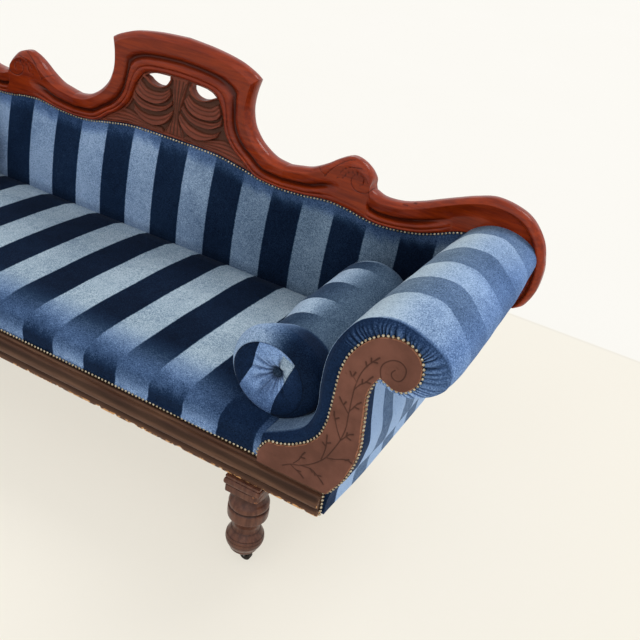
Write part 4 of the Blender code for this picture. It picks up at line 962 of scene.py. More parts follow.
def make_leg(name, x, y, broken):
    ring_points, corner_points = 56, 8
    block = smooth(block_steps, 3)
    rings = []
    for inset in block[:, 0]:
        half, radius = block_half - inset, 0.003
        ring = []
        for corner in range(4):
            middle = math.pi / 2 * corner + math.pi / 4
            cx, cy = (math.copysign(half - radius, part) for part in (math.cos(middle), math.sin(middle)))
            for k in range(corner_points):
                angle = middle - math.pi / 4 + math.pi / 2 * k / (corner_points - 1)
                ring.append((cx + radius * math.cos(angle), cy + radius * math.sin(angle)))
        ring = evenly(ring, 0.004)
        rings.append(ring[np.linspace(0, len(ring) - 1, 88).astype(int)])
    outline = np.array(rings)
    z = np.repeat(block_top - block[:, 1:], outline.shape[1], 1)
    points = np.dstack([outline + (x, y), z])
    toward = (outline[..., 0] - outline[..., 1]) / (2 * block_half)
    low = ease(block_top - 0.016, block_top - 0.030, z)
    bare = broken * ease(0.62, 0.98, toward + 0.12 * waver(points, 0.012)) * low
    points[..., 0] -= 0.0045 * bare
    points[..., 1] += 0.0045 * bare
    rubbed = ease(0.955, 1.0, np.abs(toward)) * 0.3
    hollow = ease(0.0034, 0.0058, block[:, :1])
    tone = np.clip(1.0 + rubbed + 0.9 * bare - 0.55 * hollow, 0.1, 1.9)
    count = outline.shape[1]
    block_faces = tube_faces(len(outline), count)
    turning = smooth(foot_rows, 3)
    angle = 2 * math.pi * np.arange(ring_points) / ring_points
    radius = turning[:, 0] * drum_radius
    height = foot_bottom + turning[:, 1] * (block_bottom - foot_bottom)
    foot = np.stack([x + radius[:, None] * np.cos(angle), y + radius[:, None] * np.sin(angle),
                     np.repeat(height[:, None], ring_points, 1)], -1)
    start = outline.shape[0] * count
    faces = block_faces + [[k + start for k in face] for face in tube_faces(len(foot), ring_points)]
    both = np.vstack([points.reshape(-1, 3), foot.reshape(-1, 3)])
    tones = np.concatenate([tone.ravel(), np.repeat(turning[:, 2], ring_points)])
    made = piece(f"{name}_turned", both, faces, leg_wood, tone=tones)
    stands_for(made, "settee", "worn_dark_wood", name)


for word, side in sides.items():
    leg_x = side * (frame_end - 0.1725)
    make_leg(f"leg_front_{word}", leg_x, front_y + 0.0248, 1.0 if side > 0 else 0.3)
    make_leg(f"leg_rear_{word}", leg_x, back_foot + post_thickness - 0.0225, 0.0)

# %% [markdown]
# Stuffing presses velvet outwards wherever nothing holds it. Blender's cloth, blown up by pressure with gravity
# off, gives that swell. Sculpting could too, but the cloth finds by itself where it is slack. How far a point
# may go is capped, so that a cushion stays clear of its neighbours. Two more helpers write the velvet's marks.
# %% Cloth simulation helper
cloth_frames = 20


def stuffed(made, held, limit, pressure=4.0):
    """Swells a closed cloth by pressure; held is how firmly each point is held, limit how far it may go."""
    mesh = made.data
    before = np.empty(len(mesh.vertices) * 3, np.float32)
    mesh.vertices.foreach_get("co", before)
    before = before.reshape(-1, 3)
    group = made.vertex_groups.new(name="held")
    for level in np.unique(np.round(held, 1)):
        group.add(np.flatnonzero(np.round(held, 1) == level).tolist(), float(level), "REPLACE")
    cloth = made.modifiers.new("cloth", "CLOTH")
    cloth.settings.use_pressure = True
    cloth.settings.uniform_pressure_force = pressure
    cloth.settings.vertex_group_mass = "held"
    cloth.settings.effector_weights.gravity = 0.0
    cloth.settings.quality = 4
    cloth.settings.bending_stiffness = 2.0
    scene = bpy.context.scene
    for number in range(1, cloth_frames + 1):
        scene.frame_set(number)
    shown = made.evaluated_get(bpy.context.evaluated_depsgraph_get())
    after = np.empty(len(before) * 3, np.float32)
    shown.data.vertices.foreach_get("co", after)
    moved = after.reshape(-1, 3) - before
    far = np.linalg.norm(moved, axis=1, keepdims=True)
    made.modifiers.remove(cloth)
    made.vertex_groups.remove(group)
    scene.frame_set(1)
    moved *= np.minimum(1.0, limit / np.maximum(far, 1e-9)) * (1 - np.asarray(held)[:, None])
    mesh.vertices.foreach_set("co", (before + moved).ravel())
    mesh.update()
    print(made.name, "swelled by up to", round(float(far.max()) * 1000, 1), "mm, kept to", limit * 1000)


def colours(dark, light, pale, shade=1.0):
    """The pile mark of each point: both stripes' painted brightness, which is painted sheen, their paleness and
    painted crease shade.
    """
    dark, light, pale, shade = np.broadcast_arrays(dark, light, pale, shade)
    return np.stack([dark, light, pale, shade], -1).reshape(-1, 4)


def marks(made, stripe, pile):
    """Adds the velvet's marks to a piece."""
    for word, values, kind, key in (("stripe", stripe, "FLOAT", "value"), ("pile", pile, "FLOAT_COLOR", "color")):
        layer = made.data.attributes.new(word, kind, "POINT")
        layer.data.foreach_set(key, np.ascontiguousarray(values, np.float32).ravel())


print("cloth helper ready")

# %% [markdown]
# The seat is velvet drawn over a sprung stuffing, with a rounded front edge and a border nailed to the rail. It
# is swept as sections along the settee and lightly dimpled. Stripes run from its back to its front and on down
# the border, where the pile turns the other way: what was the pale stripe is painted as the dark one, painted sheen
# of a face that meets the light another way. Painted shade darkens the border's foot, the corner against the back
# and the front near the arms, where a bolster's shadow is painted.
# %% Seat
stripe_width = 0.0895
cushion_base = frame_top + 0.001 + 2 * gap


def seat_rows(x):
    """One section of the seat: up the border, over its rounded edge and back."""
    fall = (abs(x) / seat_end) ** 4
    crown = seat_crown * (1 - 0.5 * fall)
    top = frame_top + border_height
    run = [(0.0, cushion_base), (-0.002, frame_top + 0.0275), (0.0, frame_top + 0.043),
           (0.006, top - 0.0015), (0.018, top + crown / 3), (0.040, top + crown * 2 / 3)]
    run += [(back * seat_depth, top + up * crown)
            for back, up in ((0.18, 0.85), (0.45, 1.0), (0.75, 0.8), (0.93, 0.4))]
    run = smooth(run, 9)
    clear = gap + 0.6 * back_crown
    rear = [(lean(z) - clear - front_y, z) for z in np.linspace(top, cushion_base, 6)]
    under = np.column_stack([np.linspace(rear[-1][0], 0.0, 24)[1:-1], np.full(22, cushion_base)])
    return np.vstack([run, rear, under])


def make_seat():
    xs = seat_end * np.sin(math.pi / 2 * np.linspace(-1, 1, 181))
    sections = np.array([seat_rows(x) for x in xs])
    points = np.dstack([np.repeat(xs[:, None], sections.shape[1], 1), sections + (front_y, 0.0)])
    y, z = points[..., 1], points[..., 2]
    on_top = ease(frame_top + 0.05, frame_top + 0.062, z)
    inland = ease(0.0, 0.03, seat_end - np.abs(points[..., 0]))
    points[..., 2] += on_top * inland * 0.0012 * waver(points * (1, 1, 0), 0.16, 0.7)
    made = tube("seat_cushion", points, velvet)
    flat = points.reshape(-1, 3)
    held = np.where(flat[:, 2] < cushion_base + 0.001, 1.0, 0.0)
    held = np.maximum(held, ease(back_foot - 0.03, back_foot - 0.012, flat[:, 1]))
    held = np.maximum(held, ease(seat_end - 0.02, seat_end - 0.002, np.abs(flat[:, 0])))
    stuffed(made, held, 0.003)
    # Painted sheen: the light stripe is painted bright on the top, more so further back, and dark down the border,
    # where the dark stripe is painted brighter
    far = ease(front_y + 0.012, front_y + 0.15, y)
    rubbed = 0.006 * waver(points, 0.04, 2.1)
    high = 0.55 * ease(0.340, 0.374, z + rubbed) + 0.45 * ease(front_y + 0.004, front_y + 0.06, y + 2 * rubbed)
    # Painted shadow of the bolster on the front of the seat near each arm
    bolster_shadow = ease(0.46, 0.60, np.abs(points[..., 0])) * ease(front_y + 0.15, front_y + 0.06, y)
    high = high * (1 - 0.75 * bolster_shadow)
    dark = 0.42 + 0.30 * ease(0.368, 0.325, z) - far * 0.38
    light = 0.11 + high * (0.54 - 0.11) + far * high * (0.84 - 0.54)
    # A small stain, carried in the shade mark with the painted shade of the back's corner and the border's foot
    spot = np.exp(-(((points[..., 0] - 0.46) / 0.008) ** 2 + ((y + 0.13) / 0.006) ** 2))
    corner = ease(0.02, 0.0, np.abs(y - lean(z) + 0.012)) * on_top * 0.35
    border = 1 - 0.6 * ease(0.3215, 0.317, z)
    shade = border - corner - 0.45 * spot
    marks(made, points[..., 0] / stripe_width, colours(dark, light, 0.25 + 0.75 * far * high, shade))
    stands_for(made, "settee", "striped_velvet", "seat")


make_seat()

# %% [markdown]
# The inside back is a thinner pad on the leaning frame, crowned between the seat and the show-wood, with the
# stripes running up it. Near the nails, where the pad turns up to them, both stripes are painted a middle blue:
# painted sheen. Both are painted darker and greyer to the right, a painted fall of the window's light, with painted
# shade at the foot, under the nails and towards the arms.
# %% Inside back


def make_back():
    reach = frame_end - 0.045
    lap = np.array([reach + 0.0004, reach + 0.018, reach + 0.034])
    xs = np.concatenate([-lap[::-1], np.linspace(-reach, reach, 221), lap])
    high = np.interp(np.abs(xs), nail_edge[:, 0], nail_edge[:, 1]) - 0.0015
    low = frame_top + 0.018
    fade = ease(0.0, 0.09, seat_end - 0.040 - np.abs(xs))
    t = np.linspace(0, 1, 46)
    bulge = np.sin(math.pi * t) ** 0.6 * back_crown
    up = low + (high - low)[:, None] * t
    deep = -bulge[None, :] * fade[:, None]
    rear_t = t[::-3]
    up = np.concatenate([up, low + (high - low)[:, None] * rear_t], 1)
    deep = np.concatenate([deep, np.full((len(xs), len(rear_t)), 0.016)], 1)
    over_post = (np.abs(xs) > reach)[:, None]
    deep = np.where(over_post, np.where(deep > 0.01, -0.0006, -0.0022), deep)
    points = np.dstack([np.repeat(xs[:, None], up.shape[1], 1), deep + lean(up), up])
    made = tube("inside_back_pad", points, velvet)
    t_all = np.concatenate([t, rear_t])[None, :] + 0 * up
    held = np.where((deep > 0.010) | over_post, 1.0, np.maximum(ease(0.93, 0.98, t_all), ease(0.16, 0.1, t_all)))
    held = np.maximum(held, ease(seat_end - 0.07, seat_end - 0.03, np.abs(points[..., 0])))
    stuffed(made, held.ravel(), 0.0025)
    x, below = points[..., 0], high[:, None] - up
    # Painted light: both stripes are painted darker and greyer from the left to the right
    right = ease(-0.25, 0.55, x)
    # Painted sheen where the pad turns up to the nails: both stripes are painted a middle blue
    brushed = ease(0.045, 0.012, below + 0.008 * waver(points, 0.05, 1.3))
    dark = (0.14 - 0.08 * right) * (1 - brushed) + brushed * (0.30 + 0.06 * right)
    light = (0.85 - 0.28 * right) * (1 - brushed) + brushed * (0.54 - 0.14 * right)
    pale = (0.42 + 0.5 * right) * (1 - 0.7 * brushed)
    # Painted shade at the foot of the back, under the nails and towards the arms
    shade = 1 - 0.35 * ease(0.03, 0.0, up - 0.372) - 0.45 * ease(0.004, 0.0, below)
    shade = shade - 0.3 * ease(0.60, 0.68, np.abs(x))
    marks(made, (x - 0.0065) / stripe_width, colours(dark, light, pale, shade))
    stands_for(made, "settee", "striped_velvet", "inside_back")


make_back()

# %% [markdown]
# A scroll arm is stuffed over a rail and covered by one width of velvet that rolls over it, with rings of
# stripe. In front the cloth is gathered into fine pleats and nailed round the plaque. The rows go from the
# plaque's edge out to the roll's rim, round it, and back along the roll.
# %% Arm cloth rows
# Which point of the plaque's inner edge each point of the arm's outline is gathered to
band_match = [1.6, 4, 6, 7, 8.5, 10, 11, 12, 12.8, 13.5, 14.5, 16, 16.8, 17.6, 18.2, 19, 19.6, 20.4, 21, 21.8,
              22.6, 23.5, 24]
# Share of the way to the back, then the middle of the ring there, in stripes
ring_places = [(-0.1, 0.0), (0.0, 0.5), (0.18, 1.5), (0.33, 2.5), (0.50, 3.5), (0.68, 4.5), (0.88, 5.5),
               (1.05, 6.4)]
arm_face = front_y - 0.0035
arm_depths = np.concatenate([[0.012, 0.022, 0.034], np.linspace(0.06, 1.0, 56)])


def arm_edges():
    """Places along the outline, the outline, its nailed edge and rim, the way round it, and how the rim is pulled."""
    steps = 22
    along = np.linspace(0, len(arm_outside_shares) - 1, (len(arm_outside_shares) - 1) * steps + 1)
    outside = smooth(arm_outside_shares, steps)
    gathered = smooth(np.column_stack([np.arange(25), plaque_inner_shares]), 12)
    match = np.interp(along, range(len(band_match)), band_match)
    held_edge = np.column_stack([np.interp(match, gathered[:, 0], gathered[:, k]) for k in (1, 2)])
    rim, nailed = arm_point(outside), arm_point(held_edge)
    run = np.concatenate([[0], np.cumsum(np.hypot(*np.diff(rim, axis=0).T))])
    drawn_in = (0.018 * ease(8.5, 12.5, along) * (1 - 0.85 * ease(13.5, 16.5, along)))[:, None]
    toward_roll = arm_point([(0.76, 0.82)]) - rim
    toward_roll /= np.linalg.norm(toward_roll, axis=1, keepdims=True)
    pull = toward_roll * drawn_in
    return along, outside, nailed, rim + pull, run, pull


def arm_band(along, nailed, rim, run):
    """The gathered front, out to the rim: its rows, the painted shade in its pleats, and the painted highlight where
    a pleat stands up.
    """
    pitch = np.interp(along, (6, 9, 12, 16), (0.0085, 0.0105, 0.0125, 0.0145))
    wave = np.concatenate([[0], np.cumsum(np.diff(run) / pitch[1:])])
    wave = wave + 0.30 * np.sin(run * 111) + 0.22 * np.sin(run * 53 + 2)
    puff = np.abs(np.cos(math.pi * wave)) ** 0.75
    strong = ease(6.4, 8.4, along) * (0.45 + 0.55 * np.sin(np.floor(wave + 0.5) * 12.9) ** 2)
    spread_out = ease(11.0, 15.0, along)
    across = np.array([0.0, 0.06, 0.14, 0.24, 0.36, 0.48, 0.6, 0.71, 0.81, 0.89, 0.95, 0.985])
    rows, shades, pleat_highlight = [], [], []
    for w in across:
        swell = math.sin(math.pi * min(w * 0.62 + 0.1, 1.0))
        reach = strong * (1 - ease(0.5, 0.95, w) * (1 - 0.45 * spread_out)) * (1 - ease(0.93, 1.0, w))
        y = arm_face - 0.0045 * swell - 0.0042 * reach * (puff - 0.6) + 0.011 * ease(0.55, 1.0, w) ** 1.6
        flat = nailed + (rim - nailed) * w
        rows.append(np.column_stack([flat[:, 0], y + 0 * run, flat[:, 1]]))
        # Painted shade in the pleats' hollows and along the nailed edge, and a painted highlight where a pleat stands
        # up
        shades.append(1 - 0.62 * reach * ease(0.55, 0.1, puff) - 0.55 * ease(0.08, 0.0, w))
        pleat_highlight.append(reach * ease(0.55, 0.95, puff))
    return rows, shades, pleat_highlight


def arm_roll(along, outside, pull):
    """The rows behind the rim, back along the roll."""
    rows = []
    whole = back_foot - arm_front
    for k, t in enumerate(arm_depths):
        flat = arm_point(outside, t)
        y0 = arm_face + 0.0105
        rear = lean(flat[:, 1]) - gap
        swell = 0.0 if k > 2 else (-0.0016, -0.0008, -0.0002)[k]
        flat = flat + pull * (1 - min(t / 0.11, 1.0)) ** 2
        middle = flat.mean(0)
        out = (flat - middle) / np.linalg.norm(flat - middle, axis=1, keepdims=True)
        flat = flat + out * swell
        there = np.column_stack([flat, np.full(len(flat), t * whole)])
        lumps = 0.0010 * waver(there, 0.11, 1.7) * ease(0.02, 0.1, t)
        flat = flat + out * lumps[:, None] * ease(0.0, 0.05, 1 - t) * ease(5.5, 7.5, along)[:, None]
        rows.append(np.column_stack([flat[:, 0], y0 + (rear - y0) * t, flat[:, 1]]))
    return rows


def arm_hollow(places):
    """The side against the arm's wood, which closes each row."""
    base = [(arm_point([(0.293, 0)])[0][0], cushion_base), (seat_end + gap, cushion_base)]
    inner = []
    for t in places:
        flat = np.vstack([arm_point(arm_inside_shares, t), base])
        rear = lean(flat[:, 1]) - gap
        inner.append(np.column_stack([flat[:, 0], arm_front + (rear - arm_front) * t, flat[:, 1]]))
    return np.array(inner)


print("arm rows reach back in", len(arm_depths), "steps")

# %% [markdown]
# The roll's stripes are rings, a little further forward on its outer side, which is painted darker: painted sheen
# of a side turned from the light. The gathered front is painted nearly black above the seat and paler out under
# the roll, painted sheen and shade; the pleats that stand up get a painted highlight, and so does the rim, and the
# roll's side towards the seat gets painted shade. All this could be painted on a texture, but sums over the rows
# that make the shape keep each mark on its own pleat.
# %% Arms


def arm_pile(rows, along, pleat_highlight, places):
    """The stripe, and the painted brightness of the dark and light one and the paleness, painted sheen and shade, at
    each point of the rows.
    """
    band_rows = len(rows) - len(arm_depths)
    t = places[:, None]
    place = t + 0.07 * ease(11.5, 14.0, along)[None, :] * ease(0.0, 0.08, t)
    stripe = np.interp(place, *zip(*ring_places))
    # Painted sheen and shade by the way the roll faces: its outer side, underside, crest and the side towards the
    # seat
    outer = ease(11.8, 14.2, along + 1.2 * waver(rows.reshape(-1, 3), 0.3, 0.4).reshape(rows.shape[:2]))
    under = ease(16.5, 18.5, along)[None, :] + 0 * t
    inward_shade = ease(8.6, 6.9, along)[None, :] + 0 * t
    crest = ease(9.6, 12.6, along)[None, :] + 0 * t
    dark = 0.56 + outer * 0.03 - under * 0.06 - inward_shade * 0.42
    light = 0.97 - 0.13 * crest - outer * 0.16 - under * 0.06 - inward_shade * 0.4
    pale = 1.0 - 0.6 * ease(9.0, 12.0, along)[None, :] - outer * 0.4 - inward_shade * 0.3
    front = (np.arange(len(rows)) < band_rows)[:, None]
    # The gathered front's painted brightness, dark above the seat and paler under the roll; glow is the pleats'
    # painted highlight
    navy = np.interp(along, [0, 6, 9, 12, 15, 18, 22], [0.16, 0.13, 0.17, 0.27, 0.42, 0.66, 0.74])[None, :]
    glow = pleat_highlight * (0.24 + 0.08 * ease(14, 19, along)[None, :])
    dark = np.where(front, navy + glow, dark)
    light = np.where(front, navy + glow, light)
    pale = np.where(front, 0.1, pale)
    # A painted highlight along the rim
    at_rim = (np.abs(np.arange(len(rows)) - band_rows + 0.5) < 1)[:, None]
    rim_highlight = (ease(2.0, 4.5, along) * ease(11.0, 9.0, along))[None, :] * at_rim
    dark, light, pale = (part + rim_highlight * (0.95 - part) for part in (dark, light, pale))
    return stripe, dark, light, pale


def make_arm():
    along, outside, nailed, rim, run, pull = arm_edges()
    band, shades, pleat_highlight = arm_band(along, nailed, rim, run)
    rows = np.array(band + arm_roll(along, outside, pull))
    places = np.concatenate([np.zeros(len(band)), arm_depths])
    inner = arm_hollow(places)
    made = tube("arm_pad_stuffed_right", np.concatenate([rows, inner], 1), velvet)
    plain = np.ones((len(arm_depths), len(run)))
    values = *arm_pile(rows, along, np.vstack([pleat_highlight, 0 * plain]), places), np.vstack([shades, plain])
    # The side against the wood is painted dim, in its shade
    fill = [np.concatenate([part, np.full((len(rows), inner.shape[1]), 0.3)], 1) for part in values]
    marks(made, fill[0], colours(*fill[1:]))
    return made


right_arm = make_arm()
for word, made in (("right", right_arm), ("left", mirrored(right_arm, "arm_pad_stuffed_left"))):
    stands_for(made, "settee", "striped_velvet", f"arm_pad_{word}")

# %% [markdown]
# Below the roll the outside of the arm is covered by velvet over thin padding. Its stripes run up and down, and
# lean forward a little on the way to the foot.
# %% Outside arms
# Share of the way to the back where each stripe ends, along the top of the wall and along its foot
wall_ends = np.array([
    (0.0, -0.05), (0.055, 0.08), (0.14, 0.195), (0.215, 0.305), (0.325, 0.435), (0.44, 0.545), (0.565, 0.655),
    (0.69, 0.765), (0.83, 0.89), (1.01, 1.05)])
# How far the padding stands out, down the wall, in millimetres
wall_swell = [0, 1, 2, 3, 4, 6, 11, 15, 17, 14, 11.5]


def make_outside_arm(word, side):
    thick = 0.0025
    rings = []
    shares = np.linspace(0, 1, 101)
    for t in shares:
        line = smooth(np.vstack([arm_point(outer_line_shares, t), [(frame_end + gap + thick, frame_top - 0.033)],
                                 [(frame_end + gap + thick, frame_bottom + gap)]]), 5)
        share = 0.4 + 0.6 * ease(0.0, 0.3, t) - 0.5 * ease(0.85, 1.0, t)
        crown = share * np.interp(np.linspace(0, 10, len(line)), range(11), wall_swell) / 1000
        outer = line + np.column_stack([crown, 0 * crown])
        ring = np.vstack([outer, (line - (thick, 0))[::-1]])
        rear = lean(np.maximum(ring[:, 1], frame_top)) + post_thickness
        rings.append(np.column_stack([ring[:, 0] * side, arm_front + (rear - arm_front) * t, ring[:, 1]]))
    made = tube(f"outside_arm_cloth_{word}", rings, velvet)
    points = np.array(rings)
    t = shares[:, None] + 0 * points[..., 0]
    low = ease(0.3, 1.0, (points[0, :, 2].max() - points[..., 2]) / np.ptp(points[0, :, 2]))
    stripe = np.zeros(t.shape)
    for k in range(1, len(wall_ends)):
        start, end = ((1 - low) * row[0] + low * row[1] for row in wall_ends[k - 1:k + 1])
        stripe += np.clip((t - start) / (end - start), 0, 1) * (0.5 if k == 1 else 1.0)
    # The first strip, by the plaque, is painted dark, in painted shade; the slate stripes are painted greyer and the
    # light ones bright, painted sheen
    first = ease(0.62, 0.45, stripe)
    dark = 0.58 - 0.38 * first
    slate = np.abs((stripe + 0.5) % 2 - 0.5) < 0.5
    # Painted shadow under the roll, and painted shade along the front edge
    shade = 1 - 0.25 * ease(0.57, 0.6, points[..., 2]) - 0.2 * ease(0.02, 0.0, t)
    marks(made, stripe, colours(dark, 1.12, np.where(slate, 0.45 * (1 - first), 0.2), shade))
    stands_for(made, "settee", "striped_velvet", f"outside_arm_{word}")


for word, side in sides.items():
    make_outside_arm(word, side)

# %% [markdown]
# Loose bolsters lie along the arms. Each end is a disc gathered to a covered button, cut from the striped
# cloth, so that its wedges follow the folds; a seam joins it to the tube, whose stripes run round. The
# bolster rests flat on the seat and against the arm, so its rings are pressed to those two surfaces.
# %% Bolster tables
bolster_radius, bolster_length = 0.105, 0.470
bolster_x = seat_end - 0.023
bolster_z = frame_top + border_height + seat_crown + gap + bolster_radius - 0.017
bolster_front = front_y + 0.053
# Share of the radius, and how deep the gathered end lies there
end_rows = [(0.085, 0.0280), (0.11, 0.0250), (0.15, 0.0200), (0.21, 0.0148), (0.30, 0.0100), (0.42, 0.0062),
            (0.55, 0.0040), (0.68, 0.0034), (0.80, 0.0045), (0.89, 0.0075), (0.945, 0.0115), (0.98, 0.0170),
            (1.0, 0.0250)]
# Depth from the front, and the tube's radius there: the front end is plumper than what lies behind it
tube_radii = [(0.0, 0.105), (0.025, 0.105), (0.05, 0.1005), (0.08, 0.0942), (0.145, 0.0936), (0.21, 0.0966),
              (0.47, 0.0966)]
# Edges of the pale stripe across the end: height above the button, then left and right edge, in millimetres
end_stripe = [(-110, -102, -3), (-88, -90, 5), (-68, -80, 8), (-43, -70, 13), (-22, -60, 20), (2, -50, 27),
              (20, -47, 35), (37, -45, 42), (65, -39, 51), (110, -30, 70)]
# Outline of the patch of that stripe that is painted greyer, painted sheen where the pile lies the other way, across
# and up from the button
grey_patch = [(0.003, 0.022), (0.018, 0.056), (0.046, 0.046), (0.023, -0.016)]
# Way of each fold in degrees, how wide it is, how far out it goes and how deep
end_folds = [
    (-152, 8, 0.66, 1.0), (-131, 7, 0.5, 0.7), (-117, 7, 0.8, 0.9), (-103, 6, 0.72, 0.8), (-87, 5, 0.6, 1.0),
    (-72, 6, 0.5, 0.8), (-50, 7, 0.6, 0.5), (-24, 9, 0.4, 0.5), (6, 9, 0.35, 0.4), (40, 8, 0.35, 0.4),
    (76, 6, 0.62, 0.8), (104, 8, 0.38, 0.5), (127, 6, 0.45, 0.6), (146, 6, 0.66, 0.9), (176, 6, 0.66, 1.0)]
# Y of places along the tube, and how many stripes from the front each is
tube_rings = [(-0.262, 0.6), (-0.181, 1.5), (-0.1155, 2.5), (-0.049, 3.5), (0.045, 4.5), (0.132, 5.5),
              (0.225, 6.45)]
print("bolster tables:", len(end_folds), "folds")

# %% [markdown]
# A bolster could be a plain cylinder with two discs, but a real one sags where it lies, and its ends are drawn
# in to their buttons. Three helpers give the height of the seat under it, how deep the gathered ends are folded,
# and the rings that run from a button over the seam to the rim.
# %% Bolster helpers


def seat_surface(x, y):
    """Height of the seat's top."""
    crown = seat_crown * (1 - 0.5 * (np.abs(x) / seat_end) ** 4)
    share = np.interp((y - front_y) / seat_depth, (0.06, 0.18, 0.45, 0.75, 0.93), (0.66, 0.85, 1.0, 0.8, 0.4))
    return frame_top + border_height + share * crown


def fold_depth(turn, share):
    """How deep a gathered end is folded, from 0 to 1, by its way in degrees and share of the radius."""
    deep = 0.0
    for way, width, reach, depth in end_folds:
        off = (turn - way + 180) % 360 - 180
        deep = deep + depth * np.exp(-(off / width) ** 2) * ease(reach, reach * 0.35, share)
    return np.clip(deep, 0, 1) * ease(0.07, 0.13, share)


def end_rings(angle, radius):
    """Rings of an end from button to seam to rim: how far out they are, 1 being the seam, and their places."""
    out = np.concatenate([np.linspace(0, 1, 24) ** 0.85, [1.008], np.linspace(1, 2, 11)[1:]])[:, None]
    shift = np.minimum(out, 1) * np.clip(2 - out, 0, 1) * (radius / bolster_radius)
    reach = np.interp(out, (0, 1, 2), (0.009, 0.083 * radius / bolster_radius, radius))
    return out, -0.013 * shift + reach * np.cos(angle), -0.015 * shift + reach * np.sin(angle)


print("bolster helpers ready")

# %% [markdown]
# The bolster is one closed body, front end, tube and rear end, because only a closed body can be blown up as
# cloth. Its rings are first pressed to the seat and the arm. Its marks come last: painted light at the tube's top
# left, painted shade towards the arm and underneath, and one pale stripe across each end, with painted shade in
# its folds.
# %% Bolster


def make_bolster():
    ring_points = 200
    angle = 2 * math.pi * np.arange(ring_points) / ring_points
    depths = np.linspace(0.028, 0.442, 46)
    radii = np.interp(depths, *zip(*tube_radii))
    profile = smooth(end_rows, 6)
    parts = []
    for radius, toward in ((bolster_radius, 1), (radii[-1], -1)):
        out, across, up = end_rings(angle, radius)
        share = np.clip(np.hypot(across, up) / radius, 0.085, 1.0)
        fold = fold_depth(np.degrees(np.arctan2(up, across)), share)
        seam = np.exp(-((out - 1.004) / 0.03) ** 2)
        deep = np.interp(share, profile[:, 0], profile[:, 1])
        puffed = 0.0048 * (fold - 0.3) * ease(0.85, 0.3, share) * ease(0.06, 0.2, share) + 0.0013 * seam
        deep = deep + puffed
        spare = bolster_radius - radius
        y = bolster_front + deep if toward > 0 else bolster_front + bolster_length - deep
        made = [across + bolster_x + spare, y, up + bolster_z - spare, out + 0 * y, fold, share]
        parts.append([part if toward > 0 else part[::-1] for part in made])
    spare = (bolster_radius - radii)[:, None]
    body = [bolster_x + spare + radii[:, None] * np.cos(angle), bolster_front + depths[:, None] + 0 * angle,
            bolster_z - spare + radii[:, None] * np.sin(angle)]
    body += [np.full(body[0].shape, 3.0), 0 * body[0], 1 + 0 * body[0]]
    x, y, z, out, fold, share = (np.concatenate([parts[0][k], body[k], parts[1][k]]) for k in range(6))
    lumps = 0.0014 * waver(np.stack([x, y, z], -1), 0.12, 0.3) * (out > 2.5)
    x, z = x + lumps * np.cos(angle), z + lumps * np.sin(angle)
    z = np.maximum(z, seat_surface(x, y) + 0.0015)
    wall = arm_point(smooth(arm_outside_shares[:9], 6))
    x = np.minimum(x, np.interp(z, wall[:, 1], np.minimum.accumulate(wall[::-1, 0])[::-1]) - 0.0012)
    points = np.stack([x, y, z], -1)
    made = tube("bolster_stuffed_right", points, velvet)
    flat = points.reshape(-1, 3)
    held = np.where((flat[:, 2] < bolster_z - 0.075) | (flat[:, 0] > bolster_x + 0.07), 1.0, 0.0)
    held = np.maximum(held, 0.6 * (out < 2.5).ravel())
    held = np.maximum(held, ease(0.35, 0.15, share).ravel())
    stuffed(made, held, 0.0022, 3.0)
    across, up = x - bolster_x, z - bolster_z
    turn = np.degrees(np.arctan2(up, across))
    # The tube: rings painted pale at the top left, where the light falls, with painted shade towards the arm and low
    # down
    arm_side_shade = ease(120, 62, (turn + 90) % 360 - 90) * ease(-150, -100, (turn + 180) % 360 - 180)
    low = 1 - 0.5 * ease(bolster_z - 0.02, bolster_z - 0.10, z)
    ring = np.interp(y, *zip(*tube_rings))
    light = (0.90 - 0.50 * arm_side_shade) * low
    dark = (0.24 + 0.16 * arm_side_shade) * low
    pale = 0.75 + 0.2 * arm_side_shade
    rim = ease(-0.178, -0.190, y)
    light = light + rim * (0.90 - 0.82 * arm_side_shade - light)
    dark = dark + rim * (0.10 - dark)
    pale = pale + rim * (0.45 - pale)
    # The gathered ends: one pale stripe between two dark ones, painted lighter on the puffs between folds and darker
    # low down; the grey patch is painted sheen
    heights, lefts, rights = np.array(end_stripe).T / 1000
    inside = np.minimum(across - np.interp(up, heights, lefts), np.interp(up, heights, rights) - across)
    disc = out <= 1.001
    ring = np.where(disc, np.clip(0.5 + inside / 0.024, 0, 1), np.where(out < 2.5, 1.0, ring))
    at = np.column_stack([across.ravel(), up.ravel()])
    to_patch = nearness(at, spread([grey_patch + grey_patch[:1]]))
    into = np.where(within(at, [np.array(grey_patch)]), 1, -1) * to_patch
    grey = ease(-0.0012, 0.0012, into).reshape(x.shape)
    puff = ease(0.3, 0.0, fold) * ease(0.75, 0.3, share)
    light = np.where(disc, 0.82 + 0.14 * puff - 0.10 * grey - 0.2 * ease(-0.02, -0.06, up), light)
    dark = np.where(disc, 0.12 + 0.08 * puff, dark)
    pale = np.where(disc, 0.85 * grey, pale)
    # Painted shade in the folds, round the button and along the seam
    shade = 1 - 0.62 * fold * (out < 2.5) - 0.7 * ease(0.2, 0.1, share) - 0.5 * np.exp(-((out - 1.004) / 0.02) ** 2)
    marks(made, ring, colours(dark, light, pale, np.clip(shade, 0.05, 1)))
    return made


right_bolster = make_bolster()
print("bolster", len(right_bolster.data.polygons), "faces")

# %% [markdown]
# A covered button could be a flattened ball. Turned from a small profile it gets a rim as well, which sinks
# among the gathers of the bolster's end. The left bolster is the mirror image of the right one.
# %% Bolster buttons


